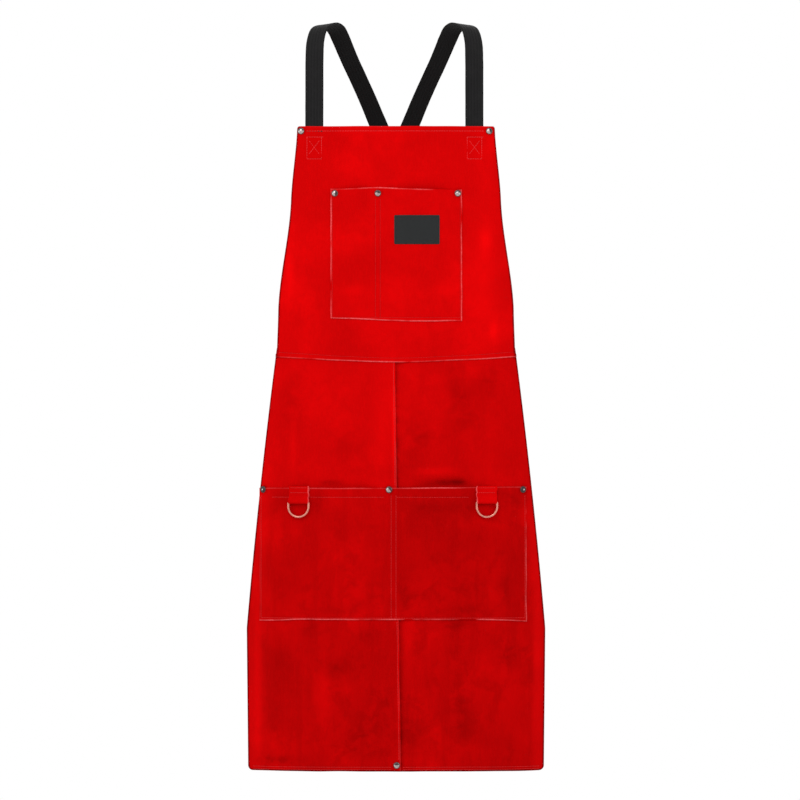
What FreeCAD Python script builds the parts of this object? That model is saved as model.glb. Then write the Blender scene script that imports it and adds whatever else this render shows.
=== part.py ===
import FreeCAD, Part
import math
import os
import Sketcher

Vector = FreeCAD.Vector

# Welding apron, millimetres. X runs across it, -Y is its front, +Z is up. The origin is on the plane
# of symmetry, at the underside of the straps where they rest on the wearer's shoulders.
#
# The leather hangs in a curve that is the same at every height: a flat arc across the front, and a
# tighter arc at each side. Its layers lie one on another as offsets of that curve, so every layer is
# given by how far outside the skirt's rear face it begins.

SIZES = {
    # lengths, measured down from the top edge of the bib
    "apron_length": 1065,
    "bib_length": 386,
    "bib_top_drop": 172,
    "waist_lap": 20,
    # half widths, as seen from the front
    "bib_top_half_width": 163,
    "waist_half_width": 197,
    "skirt_half_width": 247.5,
    "skirt_widest_drop": 830,
    "hem_half_width": 245,
    "hem_corner_radius": 8,
    "bib_side_bow": 3,
    "skirt_side_bow": 2.5,
    # the curve that the leather hangs in
    "front_depth": 120,
    "front_radius": 1200,
    "front_half_width": 150,
    "side_radius": 140,
    # hide
    "hide_thickness": 1.8,
    "layer_gap": 0.1,
    "seam_top_x": -2,
    "seam_hem_x": 8,
    "seam_lap": 25,
    "seam_step": 4,
    # bib pocket
    "bib_pocket_left": -108,
    "bib_pocket_right": 109,
    "bib_pocket_top_drop": 104,
    "bib_pocket_bottom_drop": 319,
    "pen_slot_rise": 8,
    "bib_pocket_rise": 10,
    "divider_x": -30,
    "divider_width": 22,
    "pocket_flange": 14,
    "pocket_slope": 14,
    "pocket_foot_rise": 0.001,
    # waist pocket
    "waist_pocket_left": -226,
    "waist_pocket_right": 216,
    "waist_pocket_top_drop": 597,
    "waist_pocket_bottom_drop": 815,
    "waist_pocket_rise": 12,
    "waist_pocket_flat_x": 130,
    "waist_pocket_middle_x": -4,
    "waist_pocket_middle_width": 44,
    "waist_pocket_slope": 22,
    # label patch on the bib pocket
    "label_left": -3,
    "label_right": 72,
    "label_top_drop": 147,
    "label_bottom_drop": 195,
    "label_thickness": 1.2,
    # rivets
    "cap_radius": 6,
    "cap_height": 2.4,
    "cap_rim": 0.7,
    "post_radius": 2,
    "post_clearance": 0.15,
    "burr_radius": 5,
    "burr_thickness": 1,
    "burr_gap": 0.15,
    "burr_clearance": 0.05,
    "corner_rivet_left_x": -157,
    "corner_rivet_right_x": 154,
    "corner_rivet_drop": 8,
    "pocket_rivet_drop": 111,
    "pocket_rivet_inset": 7,
    "waist_rivet_drop": 600,
    "waist_rivet_inset": 6,
    "waist_rivet_middle_x": -11.5,
    "hem_rivet_x": 1,
    "hem_rivet_rise": 10,
    # front D-rings and their tabs
    "ring_wire_radius": 1.75,
    "d_ring_half_width": 17,
    "d_ring_corner_radius": 3,
    "d_ring_height": 25,
    "left_d_ring_x": -161,
    "right_d_ring_x": 150,
    "d_ring_drop": 620,
    "d_tab_width": 36,
    "d_tab_eye_width": 26,
    "d_tab_thickness": 1.5,
    "d_tab_length": 26,
    "d_tab_neck": 5,
    "d_tab_clearance": 0.35,
    # webbing straps
    "strap_width": 30,
    "strap_thickness": 2,
    "left_strap_x": -135,
    "right_strap_x": 129.5,
    "strap_sewn_length": 58,
    "strap_sewn_gap": 0.3,
    "strap_back_depth": 106,
    "strap_cross_gap": 1.2,
    "strap_loop_gap": 9,
    "strap_run_gap": 0.6,
    "strap_run_start": 26,
    "strap_run_length": 96,
    "strap_tail_length": 78,
    # waist tabs, the rings in them and the slides on the straps
    "flank_x": 185,
    "flank_angle": 30,
    "waist_ring_y": -48,
    "waist_ring_drop": 325,
    "waist_ring_pitch": 15.5,
    "waist_ring_half_width": 18,
    "waist_ring_corner_radius": 3,
    "waist_tab_width": 28,
    "waist_tab_thickness": 3,
    "waist_tab_wall": 1.5,
    "waist_tab_gap": 0.7,
    "waist_tab_inner_x": 152,
    "waist_tab_bend_radius": 24,
    "slide_wall": 2.4,
    "slide_clearance": 0.6,
    "slide_length": 12,
    "slide_place": 52,
    # thread
    "thread_thickness": 0.5,
    "thread_width": 1.2,
    "stitch_inset": 3,
    "stitch_row_gap": 4,
    "d_tab_row_gap": 8,
    "bib_hem": 8,
    "strap_box_drop": 18,
    "strap_box_height": 36,
}

doc = FreeCAD.newDocument("welding_apron")
sheet = doc.addObject("Spreadsheet::Sheet", "Sizes")
for row, (alias, size) in enumerate(SIZES.items(), start=1):
    sheet.set(f"A{row}", alias)
    sheet.set(f"B{row}", str(size))
    sheet.setAlias(f"B{row}", alias)
doc.recompute()

NODES = []


def S(alias):
    """The expression that reads a size from the sheet."""
    return f"Sizes.{alias}"


def value(expression):
    """What an expression comes to, in millimetres or degrees."""
    found = sheet.evalExpression(str(expression))
    return float(getattr(found, "Value", found))


def node(thing, label):
    """Marks a finished sub-part, whose label names its file."""
    thing.Label = label
    NODES.append(thing)
    return thing


def bind(thing, **expressions):
    """Binds properties to expressions. A double underscore stands for a dot."""
    for name, expression in expressions.items():
        thing.setExpression(name.replace("__", "."), str(expression))
    return thing


# ---------------------------------------------------------------- the curve that the leather hangs in

HIDE = S("hide_thickness")
GAP = S("layer_gap")
FRONT_Y = f"(-{S('front_depth')} + {S('front_radius')})"
SPREAD = f"asin({S('front_half_width')} / {S('front_radius')})"
SIDE_X = f"(({S('front_radius')} - {S('side_radius')}) * sin({SPREAD}))"
SIDE_Y = f"({FRONT_Y} - ({S('front_radius')} - {S('side_radius')}) * cos({SPREAD}))"

SKIRT_LAYER = "0"
TONGUE_LAYER = f"(-{GAP} - {HIDE})"
BIB_LAYER = f"({HIDE} + {GAP})"
BIB_POCKET_LAYER = f"(2 * {HIDE} + 2 * {GAP})"
WAIST_POCKET_LAYER = f"({HIDE} + {GAP})"
BIB_FACE = f"(2 * {HIDE} + {GAP})"
BIB_POCKET_FACE = f"(3 * {HIDE} + 2 * {GAP})"
WAIST_POCKET_FACE = f"(2 * {HIDE} + {GAP})"


def drop(expression):
    """The height of a level that is given as its distance below the bib's top edge."""
    return f"(-{S('bib_top_drop')} - ({expression}))"


def side_of(x, layer):
    """-1, 0 or 1: whether a place lies on the left arc, the front arc or the right arc."""
    seam = value(f"({S('front_radius')} + {layer}) * sin({SPREAD})")
    across = value(x)
    return -1 if across < -seam else 1 if across > seam else 0


def arc_of(side, layer):
    """The centre and radius of one of the curve's arcs, as expressions."""
    if side == 0:
        return "0", FRONT_Y, f"({S('front_radius')} + {layer})"
    return f"({side} * {SIDE_X})", SIDE_Y, f"({S('side_radius')} + {layer})"


def turn_at(x, layer):
    """How far the surface is turned about Z at a place."""
    cx, _, radius = arc_of(side_of(x, layer), layer)
    return f"asin(({x} - {cx}) / {radius})"


def depth_at(x, layer):
    """The Y of a place on a layer's inner face."""
    cx, cy, radius = arc_of(side_of(x, layer), layer)
    return f"({cy} - {radius} * cos(asin(({x} - {cx}) / {radius})))"


def pin(sketch, name, kind, element, corner, expression):
    """Holds one coordinate of a sketch point at an expression's value, whichever its sign."""
    number = value(expression)
    if number < 0:
        sketch.addConstraint(Sketcher.Constraint(kind, element, corner, -1, 1, -number))
        expression = f"-({expression})"
    else:
        sketch.addConstraint(Sketcher.Constraint(kind, -1, 1, element, corner, number))
    sketch.renameConstraint(sketch.ConstraintCount - 1, name)
    sketch.setExpression(f"Constraints.{name}", expression)


def size_radius(sketch, name, element, expression):
    """Gives an arc its radius."""
    sketch.addConstraint(Sketcher.Constraint("Radius", element, value(expression)))
    sketch.renameConstraint(sketch.ConstraintCount - 1, name)
    sketch.setExpression(f"Constraints.{name}", expression)


def layer_edge(sketch, key, stations, layer):
    """Draws one face of a layer in plan, left to right. Each station is a place across the layer and
    how far the hide stands off there. Where two stations stand off alike, the edge follows the curve."""
    made = []
    for number, ((x0, rise0), (x1, rise1)) in enumerate(zip(stations, stations[1:])):
        level = f"({layer} + {rise0})"
        if rise0 != rise1:
            ends = [(x0, level), (x1, f"({layer} + {rise1})")]
            points = [Vector(value(x), value(depth_at(x, at)), 0) for x, at in ends]
            made.append(("line", sketch.addGeometry(Part.LineSegment(*points), False), None))
            continue
        sides = range(side_of(x0, level), side_of(x1, level) + 1)
        for side in sides:
            cx, cy, radius = arc_of(side, level)
            seam = f"({radius if side == 0 else arc_of(0, level)[2]} * sin({SPREAD}))"
            start = x0 if side == sides[0] else f"(-{seam})" if side == 0 else seam
            end = x1 if side == sides[-1] else f"(-{seam})" if side == -1 else seam
            centre, size = Vector(value(cx), value(cy), 0), value(radius)
            angles = [-math.acos((value(x) - centre.x) / size) for x in (start, end)]
            circle = Part.Circle(centre, Vector(0, 0, 1), size)
            arc = sketch.addGeometry(Part.ArcOfCircle(circle, *angles), False)
            name = f"{key}_{number}_{side + 1}"
            size_radius(sketch, f"{name}_radius", arc, radius)
            if side == 0 or len(sides) == 1:
                pin(sketch, f"{name}_cx", "DistanceX", arc, 3, cx)
                pin(sketch, f"{name}_cy", "DistanceY", arc, 3, cy)
                pin(sketch, f"{name}_start", "DistanceX", arc, 1, start)
                pin(sketch, f"{name}_end", "DistanceX", arc, 2, end)
            elif side == -1:
                pin(sketch, f"{name}_start", "DistanceX", arc, 1, start)
            else:
                pin(sketch, f"{name}_end", "DistanceX", arc, 2, end)
            made.append(("arc", arc, side))
    for (kind, one, side), (next_kind, other, next_side) in zip(made, made[1:]):
        tangent = kind == next_kind == "arc" and side != next_side
        joint = "Tangent" if tangent else "Coincident"
        sketch.addConstraint(Sketcher.Constraint(joint, one, 2, other, 1))
    return made[0][1], made[-1][1]


def plan_section(sketch, stations, layer, thickness):
    """Draws a layer's section in plan into a sketch."""
    inner = layer_edge(sketch, "inner", stations, layer)
    outer = layer_edge(sketch, "outer", stations, f"({layer} + {thickness})")
    for corner, one, other in ((1, inner[0], outer[0]), (2, inner[1], outer[1])):
        ends = [sketch.getPoint(one, corner), sketch.getPoint(other, corner)]
        line = sketch.addGeometry(Part.LineSegment(*ends), False)
        sketch.addConstraint(Sketcher.Constraint("Coincident", one, corner, line, 1))
        sketch.addConstraint(Sketcher.Constraint("Coincident", other, corner, line, 2))
    return sketch


def band(name, stations, layer, thickness, bottom, top):
    """A layer of hide or thread between two heights."""
    sketch = doc.addObject("Sketcher::SketchObject", f"{name}_plan")
    plan_section(sketch, stations, layer, thickness)
    bind(sketch, Placement__Base__z=bottom)
    solid = doc.addObject("Part::Extrusion", f"{name}_band")
    solid.Base = sketch
    solid.DirMode = "Normal"
    solid.Solid = True
    return bind(solid, LengthFwd=f"({top}) - ({bottom})")


def front_outline(name, corners):
    """A prism through the apron, seen from the front. Each corner is (x, z) and, where the edge to the
    next corner is an arc, its radius and the side of that edge it bows to."""
    sketch = doc.addObject("Sketcher::SketchObject", f"{name}_outline")
    sketch.Placement = FreeCAD.Placement(Vector(0, 0, 0), FreeCAD.Rotation(Vector(1, 0, 0), 90))
    points = [Vector(value(c[0]), value(c[1]), 0) for c in corners]
    edges = []
    for number, corner in enumerate(corners):
        a, b = points[number], points[(number + 1) % len(corners)]
        start, end = 1, 2
        if len(corner) == 2:
            edge = sketch.addGeometry(Part.LineSegment(a, b), False)
        else:
            radius, bow = value(corner[2]), corner[3]
            chord = b - a
            rise = math.sqrt(radius**2 - chord.Length**2 / 4)
            across = Vector(-chord.y, chord.x, 0).normalize()
            centre = (a + b) * 0.5 - across * (bow * rise)
            angles = [math.atan2(p.y - centre.y, p.x - centre.x) for p in (a, b)]
            if bow > 0:
                angles.reverse()
                start, end = 2, 1
            if angles[1] < angles[0]:
                angles[1] += 2 * math.pi
            circle = Part.Circle(centre, Vector(0, 0, 1), radius)
            edge = sketch.addGeometry(Part.ArcOfCircle(circle, *angles), False)
            size_radius(sketch, f"radius_{number}", edge, corner[2])
        edges.append((edge, start, end))
        pin(sketch, f"x_{number}", "DistanceX", edge, start, corner[0])
        pin(sketch, f"z_{number}", "DistanceY", edge, start, corner[1])
    for (one, _, end), (other, start, _) in zip(edges, edges[1:] + edges[:1]):
        sketch.addConstraint(Sketcher.Constraint("Coincident", one, end, other, start))
    prism = doc.addObject("Part::Extrusion", f"{name}_prism")
    prism.Base = sketch
    prism.DirMode = "Normal"
    prism.Solid = True
    prism.Symmetric = True
    return bind(prism, LengthFwd=f"6 * {S('front_depth')}")


def common(name, base, tool):
    """What two solids share."""
    shared = doc.addObject("Part::Common", name)
    shared.Base = base
    shared.Tool = tool
    return shared


def fuse(name, pieces):
    """Several solids as one."""
    whole = doc.addObject("Part::MultiFuse", name)
    whole.Shapes = pieces
    return whole


def drilled(name, base, holes):
    """A solid with holes cut through it."""
    cut = doc.addObject("Part::Cut", name)
    cut.Base = base
    cut.Tool = holes
    return cut


def group(label, pieces):
    """Like pieces that share one node."""
    several = doc.addObject("Part::Compound", label)
    several.Links = pieces
    return node(several, label)


def put_on_layer(thing, x, z, layer):
    """Stands a piece on a layer, turned to face squarely out of it."""
    thing.Placement = FreeCAD.Placement(Vector(0, 0, 0), FreeCAD.Rotation(Vector(0, 0, 1), 1))
    return bind(
        thing,
        Placement__Base__x=x,
        Placement__Base__y=depth_at(x, layer),
        Placement__Base__z=z,
        Placement__Rotation__Angle=turn_at(x, layer),
    )


def bow_radius(x0, z0, x1, z1, bow):
    """The radius of an arc between two points that bows out by a given amount."""
    return f"((({x1} - {x0})^2 + ({z1} - {z0})^2) / (8 * {bow}) + {bow} / 2)"


# ---------------------------------------------------------------- rivets

def holder(name, piece):
    """A piece in a holder of its own, so that it can be turned and placed as a whole."""
    held = doc.addObject("Part::Compound", name)
    held.Links = [piece]
    return held


def post_holes(name, places):
    """Drills that clear the posts of a set of rivets."""
    reach = f"(6 * {HIDE})"
    drills = []
    for number, (x, z, layer) in enumerate(places):
        drill = doc.addObject("Part::Cylinder", f"{name}_drill_{number}")
        drill.Placement = FreeCAD.Placement(Vector(0, 0, 0), FreeCAD.Rotation(Vector(1, 0, 0), -90))
        bind(drill, Radius=f"{S('post_radius')} + {S('post_clearance')}", Height=f"2 * {reach}")
        bind(drill, Placement__Base__y=f"-{reach}")
        drills.append(put_on_layer(holder(f"{name}_drill_held_{number}", drill), x, z, layer))
    several = doc.addObject("Part::Compound", f"{name}_drills")
    several.Links = drills
    return several


def revolved(name, profile):
    """A turned piece about Y. The profile's corners are (radius, y)."""
    sketch = doc.addObject("Sketcher::SketchObject", f"{name}_profile")
    edges = []
    for number, corner in enumerate(profile):
        following = profile[(number + 1) % len(profile)]
        a = Vector(value(corner[0]), value(corner[1]), 0)
        b = Vector(value(following[0]), value(following[1]), 0)
        edge = sketch.addGeometry(Part.LineSegment(a, b), False)
        pin(sketch, f"x_{number}", "DistanceX", edge, 1, corner[0])
        pin(sketch, f"y_{number}", "DistanceY", edge, 1, corner[1])
        edges.append(edge)
    for one, other in zip(edges, edges[1:] + edges[:1]):
        sketch.addConstraint(Sketcher.Constraint("Coincident", one, 2, other, 1))
    turned = doc.addObject("Part::Revolution", name)
    turned.Source = sketch
    turned.Axis = Vector(0, 1, 0)
    turned.Base = Vector(0, 0, 0)
    turned.Angle = 360
    turned.Solid = True
    return turned


def rivets(label, places, face, stack):
    """Domed caps on the front of the leather, and the burrs that their posts pass through behind it."""
    reach = f"({stack} + {S('burr_gap')} + {S('burr_thickness')})"
    dome = [("0", f"-{S('cap_height')}")]
    for angle in (20, 40, 60):
        across = f"({S('cap_radius')} * sin({angle} deg))"
        high = f"(-{S('cap_rim')} - ({S('cap_height')} - {S('cap_rim')}) * cos({angle} deg))"
        dome.append((across, high))
    dome.append((S("cap_radius"), f"-{S('cap_rim')}"))
    cap = dome + [(S("cap_radius"), "0"), (S("post_radius"), "0"), (S("post_radius"), reach), ("0", reach)]
    hole = f"({S('post_radius')} + {S('burr_clearance')})"
    near, far = f"({stack} + {S('burr_gap')})", reach
    burr = [(hole, near), (S("burr_radius"), near), (S("burr_radius"), far), (hole, far)]
    for kind, profile in (("caps", cap), ("burrs", burr)):
        pieces = []
        for number, (x, z, _) in enumerate(places):
            piece = revolved(f"{label}_{kind}_{number}", profile)
            pieces.append(put_on_layer(piece, x, z, face))
        group(f"{label}_{kind}", pieces)


WAIST = drop(S("bib_length"))
HEM = drop(S("apron_length"))
SKIRT_TOP = f"({WAIST} + {S('waist_lap')})"
BIB_TOP = drop("0")

CORNER_RIVETS = [
    (S("corner_rivet_left_x"), drop(S("corner_rivet_drop")), BIB_FACE),
    (S("corner_rivet_right_x"), drop(S("corner_rivet_drop")), BIB_FACE),
]
POCKET_RIVETS = [
    (x, drop(S("pocket_rivet_drop")), BIB_POCKET_FACE)
    for x in (
        f"({S('bib_pocket_left')} + {S('pocket_rivet_inset')})",
        S("divider_x"),
        f"({S('bib_pocket_right')} - {S('pocket_rivet_inset')})",
    )
]
WAIST_RIVETS = [
    (x, drop(S("waist_rivet_drop")), WAIST_POCKET_FACE)
    for x in (
        f"({S('waist_pocket_left')} + {S('waist_rivet_inset')})",
        S("waist_rivet_middle_x"),
        f"({S('waist_pocket_right')} - {S('waist_rivet_inset')})",
    )
]
HEM_RIVET = [(S("hem_rivet_x"), f"({HEM} + {S('hem_rivet_rise')})", HIDE)]

# ---------------------------------------------------------------- bib and skirts

REACH = f"({S('skirt_half_width')} + 10)"
whole_width = [(f"(-{REACH})", "0"), (REACH, "0")]

bib_bow = bow_radius(S("bib_top_half_width"), BIB_TOP, S("waist_half_width"), WAIST, S("bib_side_bow"))
bib_outline = front_outline(
    "bib",
    [
        (f"(-{S('bib_top_half_width')})", BIB_TOP),
        (S("bib_top_half_width"), BIB_TOP, bib_bow, 1),
        (S("waist_half_width"), WAIST),
        (f"(-{S('waist_half_width')})", WAIST, bib_bow, 1),
    ],
)
bib_band = band("bib", whole_width, BIB_LAYER, HIDE, WAIST, BIB_TOP)
bib_sheet = common("bib_sheet", bib_band, bib_outline)
bib_holes = post_holes("bib", CORNER_RIVETS + POCKET_RIVETS)
node(drilled("bib_cut", bib_sheet, bib_holes), "bib_panel")

WIDEST = drop(S("skirt_widest_drop"))
CORNER_TOP = f"({HEM} + {S('hem_corner_radius')})"
CORNER_IN = f"({S('hem_half_width')} - {S('hem_corner_radius')})"
skirt_bow = bow_radius(S("waist_half_width"), SKIRT_TOP, S("skirt_half_width"), WIDEST, S("skirt_side_bow"))


def skirt_outline(name, side, seam_shift):
    """One skirt panel from the centre seam to its outer edge. The side is -1 for left, 1 for right."""
    corners = [
        (f"({S('seam_top_x')} + {seam_shift})", SKIRT_TOP),
        (f"({side} * {S('waist_half_width')})", SKIRT_TOP, skirt_bow, side),
        (f"({side} * {S('skirt_half_width')})", WIDEST),
        (f"({side} * {S('hem_half_width')})", CORNER_TOP, S("hem_corner_radius"), side),
        (f"({side} * {CORNER_IN})", HEM),
        (f"({S('seam_hem_x')} + {seam_shift})", HEM),
    ]
    return front_outline(name, corners)


skirt_band = band("skirt_left", whole_width, SKIRT_LAYER, HIDE, HEM, SKIRT_TOP)
left_sheet = common("skirt_left_sheet", skirt_band, skirt_outline("skirt_left", -1, "0"))
left_holes = post_holes("skirt_left", WAIST_RIVETS[:2] + HEM_RIVET)
node(drilled("skirt_left_cut", left_sheet, left_holes), "skirt_left_panel")

right_band = band("skirt_right", whole_width, SKIRT_LAYER, HIDE, HEM, SKIRT_TOP)
right_sheet = common("skirt_right_sheet", right_band, skirt_outline("skirt_right", 1, GAP))
tongue_band = band("tongue", whole_width, TONGUE_LAYER, f"({HIDE} + {GAP})", HEM, SKIRT_TOP)
thin_band = band("tongue_thin", whole_width, TONGUE_LAYER, HIDE, HEM, SKIRT_TOP)


def seam_strip(name, start, end):
    """A strip along the centre seam, between two distances from the left panel's edge."""
    top, hem = S("seam_top_x"), S("seam_hem_x")
    corners = [
        (f"({top} + {start})", SKIRT_TOP),
        (f"({top} + {end})", SKIRT_TOP),
        (f"({hem} + {end})", HEM),
        (f"({hem} + {start})", HEM),
    ]
    return front_outline(name, corners)


tongue_back = common("tongue_back", thin_band, seam_strip("tongue_back", f"(-{S('seam_lap')})", GAP))
tongue_root = common("tongue_root", tongue_band, seam_strip("tongue_root", GAP, S("seam_step")))
right_whole = fuse("skirt_right_whole", [right_sheet, tongue_back, tongue_root])
right_holes = post_holes("skirt_right", WAIST_RIVETS[1:] + HEM_RIVET)
node(drilled("skirt_right_cut", right_whole, right_holes), "skirt_right_panel")

# ---------------------------------------------------------------- pockets


def lofted_layer(name, sections, thickness):
    """A sheet between two heights. Each section is its height, its stations and the layer it lies on."""
    body = doc.addObject("PartDesign::Body", f"{name}_body")
    plane = next(o for o in body.Origin.OriginFeatures if o.Role == "XY_Plane")
    sketches = []
    for number, (level, stations, layer) in enumerate(sections):
        sketch = body.newObject("Sketcher::SketchObject", f"{name}_section_{number}")
        sketch.AttachmentSupport = (plane, [""])
        sketch.MapMode = "FlatFace"
        bind(sketch, AttachmentOffset__Base__z=level)
        plan_section(sketch, stations, layer, thickness)
        sketches.append(sketch)
    doc.recompute()
    loft = body.newObject("PartDesign::AdditiveLoft", f"{name}_loft")
    loft.Profile = sketches[0]
    loft.Sections = sketches[1:]
    loft.Ruled = True
    body.Tip = loft
    doc.recompute()
    return body


def pocket(label, stations, layer, top, bottom, places):
    """A sewn-on pocket whose mouth stands off between its seams and whose bottom lies flat."""
    at_foot = [(x, rise if rise == "0" else S("pocket_foot_rise")) for x, rise in stations]
    body = lofted_layer(label, [(top, stations, layer), (bottom, at_foot, layer)], HIDE)
    return node(drilled(f"{label}_cut", body, post_holes(label, places)), label)


def raised(start, end, slope, rise):
    """The stations of a stretch that stands off between two places."""
    return [(start, "0"), (f"({start} + {slope})", rise), (f"({end} - {slope})", rise), (end, "0")]


LEFT_FLANGE = f"({S('bib_pocket_left')} + {S('pocket_flange')})"
RIGHT_FLANGE = f"({S('bib_pocket_right')} - {S('pocket_flange')})"
DIVIDER_LEFT = f"({S('divider_x')} - {S('divider_width')} / 2)"
DIVIDER_RIGHT = f"({S('divider_x')} + {S('divider_width')} / 2)"
MAIN_LEFT = f"({DIVIDER_RIGHT} + {S('pocket_slope')})"
MAIN_RIGHT = f"({RIGHT_FLANGE} - {S('pocket_slope')})"
POCKET_TOP = drop(S("bib_pocket_top_drop"))
POCKET_BOTTOM = drop(S("bib_pocket_bottom_drop"))

bib_pocket_stations = (
    [(S("bib_pocket_left"), "0")]
    + raised(LEFT_FLANGE, DIVIDER_LEFT, S("pocket_slope"), S("pen_slot_rise"))
    + raised(DIVIDER_RIGHT, RIGHT_FLANGE, S("pocket_slope"), S("bib_pocket_rise"))
    + [(S("bib_pocket_right"), "0")]
)
pocket("bib_pocket", bib_pocket_stations, BIB_POCKET_LAYER, POCKET_TOP, POCKET_BOTTOM, POCKET_RIVETS)

MIDDLE_LEFT = f"({S('waist_pocket_middle_x')} - {S('waist_pocket_middle_width')} / 2)"
MIDDLE_RIGHT = f"({S('waist_pocket_middle_x')} + {S('waist_pocket_middle_width')} / 2)"
WAIST_POCKET_TOP = drop(S("waist_pocket_top_drop"))
WAIST_POCKET_BOTTOM = drop(S("waist_pocket_bottom_drop"))
FLAT = S("waist_pocket_flat_x")

waist_pocket_stations = (
    [(S("waist_pocket_left"), "0")]
    + raised(f"(-{FLAT})", MIDDLE_LEFT, S("waist_pocket_slope"), S("waist_pocket_rise"))
    + raised(MIDDLE_RIGHT, FLAT, S("waist_pocket_slope"), S("waist_pocket_rise"))
    + [(S("waist_pocket_right"), "0")]
)
pocket(
    "waist_pocket",
    waist_pocket_stations,
    WAIST_POCKET_LAYER,
    WAIST_POCKET_TOP,
    WAIST_POCKET_BOTTOM,
    WAIST_RIVETS,
)

# ---------------------------------------------------------------- label patch


def pocket_stand_off(level):
    """How far the front of the bib pocket stands off the bib at a height."""
    return f"({S('bib_pocket_rise')} * (({level}) - {POCKET_BOTTOM}) / ({POCKET_TOP} - {POCKET_BOTTOM}))"


label_sections = []
for level in (drop(S("label_top_drop")), drop(S("label_bottom_drop"))):
    face = f"({BIB_POCKET_FACE} + {GAP} + {pocket_stand_off(level)})"
    label_sections.append((level, [(S("label_left"), "0"), (S("label_right"), "0")], face))
node(lofted_layer("label", label_sections, S("label_thickness")), "label_patch")

# ---------------------------------------------------------------- all rivets

rivets("bib_corner_rivet", CORNER_RIVETS, BIB_FACE, HIDE)
rivets("bib_pocket_rivet", POCKET_RIVETS, BIB_POCKET_FACE, f"(2 * {HIDE} + {GAP})")
rivets("waist_pocket_rivet", WAIST_RIVETS, WAIST_POCKET_FACE, f"(3 * {HIDE} + 2 * {GAP})")
rivets("hem_rivet", HEM_RIVET, HIDE, f"(2 * {HIDE} + {GAP})")

# ---------------------------------------------------------------- front D-rings and their tabs


def bent_wire(name, half_width, height, top_radius, foot_radius):
    """A closed ring of round wire in the XZ plane, its bar along X through the origin and the rest
    below it. Where the foot's radius is the half width, the foot is a half circle."""
    body = doc.addObject("PartDesign::Body", f"{name}_body")
    planes = {o.Role: o for o in body.Origin.OriginFeatures}
    spine = body.newObject("Sketcher::SketchObject", f"{name}_spine")
    spine.AttachmentSupport = (planes["XZ_Plane"], [""])
    spine.MapMode = "FlatFace"
    wide, high = value(half_width), value(height)
    top, foot = value(top_radius), value(foot_radius)
    bow = foot_radius == half_width

    def line(a, b):
        return spine.addGeometry(Part.LineSegment(Vector(*a, 0), Vector(*b, 0)), False)

    def corner(number, cx, cz, radius, start, end, cx_name, cz_name, radius_name):
        circle = Part.Circle(Vector(cx, cz, 0), Vector(0, 0, 1), radius)
        angles = (math.radians(start), math.radians(end))
        arc = spine.addGeometry(Part.ArcOfCircle(circle, *angles), False)
        size_radius(spine, f"radius_{number}", arc, radius_name)
        pin(spine, f"cx_{number}", "DistanceX", arc, 3, cx_name)
        pin(spine, f"cz_{number}", "DistanceY", arc, 3, cz_name)
        for place, angle in ((1, start), (2, end)):
            upright = angle % 180 == 90
            kind = "DistanceX" if upright else "DistanceY"
            pin(spine, f"end_{number}_{place}", kind, arc, place, cx_name if upright else cz_name)
        return arc

    top_x, top_z = f"({half_width} - {top_radius})", f"(-{top_radius})"
    foot_x, foot_z = f"({half_width} - {foot_radius})", f"({foot_radius} - {height})"
    right_top = corner(0, wide - top, -top, top, 0, 90, top_x, top_z, top_radius)
    left_top = corner(1, top - wide, -top, top, 90, 180, f"(-{top_x})", top_z, top_radius)
    joints = []
    bar_right = line((0, 0), (wide - top, 0))
    bar_left = line((top - wide, 0), (0, 0))
    side_right = line((wide, -top), (wide, foot - high))
    side_left = line((-wide, foot - high), (-wide, -top))
    joints += [(bar_right, 2, right_top, 2), (right_top, 1, side_right, 1)]
    joints += [(side_left, 2, left_top, 2), (left_top, 1, bar_left, 1), (bar_left, 2, bar_right, 1)]
    if bow:
        arc = corner(2, 0, foot - high, foot, 180, 360, "0", foot_z, foot_radius)
        joints += [(side_right, 2, arc, 2), (arc, 1, side_left, 1)]
    else:
        right_foot = corner(2, wide - foot, foot - high, foot, 270, 360, foot_x, foot_z, foot_radius)
        left_foot = corner(3, foot - wide, foot - high, foot, 180, 270, f"(-{foot_x})", foot_z, foot_radius)
        bottom = line((wide - foot, -high), (foot - wide, -high))
        joints += [(side_right, 2, right_foot, 2), (right_foot, 1, bottom, 1)]
        joints += [(bottom, 2, left_foot, 2), (left_foot, 1, side_left, 1)]
    for joint in joints:
        spine.addConstraint(Sketcher.Constraint("Coincident", *joint))
    pin(spine, "middle_x", "DistanceX", bar_right, 1, "0")
    pin(spine, "middle_z", "DistanceY", bar_right, 1, "0")
    profile = body.newObject("Sketcher::SketchObject", f"{name}_wire")
    profile.AttachmentSupport = (planes["YZ_Plane"], [""])
    profile.MapMode = "FlatFace"
    circle = Part.Circle(Vector(0, 0, 0), Vector(0, 0, 1), value(S("ring_wire_radius")))
    ring = profile.addGeometry(circle, False)
    size_radius(profile, "wire_radius", ring, S("ring_wire_radius"))
    profile.addConstraint(Sketcher.Constraint("Coincident", ring, 3, -1, 1))
    doc.recompute()
    pipe = body.newObject("PartDesign::AdditivePipe", f"{name}_pipe")
    pipe.Profile = profile
    pipe.Spine = (spine, [])
    body.Tip = pipe
    doc.recompute()
    return body


EYE_INNER = f"({S('ring_wire_radius')} + {S('d_tab_clearance')})"
EYE_OUTER = f"({EYE_INNER} + {S('d_tab_thickness')})"
D_RING_LEVEL = drop(S("d_ring_drop"))
D_RING_LAYER = f"({WAIST_POCKET_FACE} + {GAP} + {EYE_OUTER})"


def cylinder_along_x(name, radius, length):
    """A cylinder about the X axis, centred on the origin."""
    rod = doc.addObject("Part::Cylinder", name)
    rod.Placement = FreeCAD.Placement(Vector(0, 0, 0), FreeCAD.Rotation(Vector(0, 1, 0), 90))
    return bind(rod, Radius=radius, Height=length, Placement__Base__x=f"-({length}) / 2")


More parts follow.
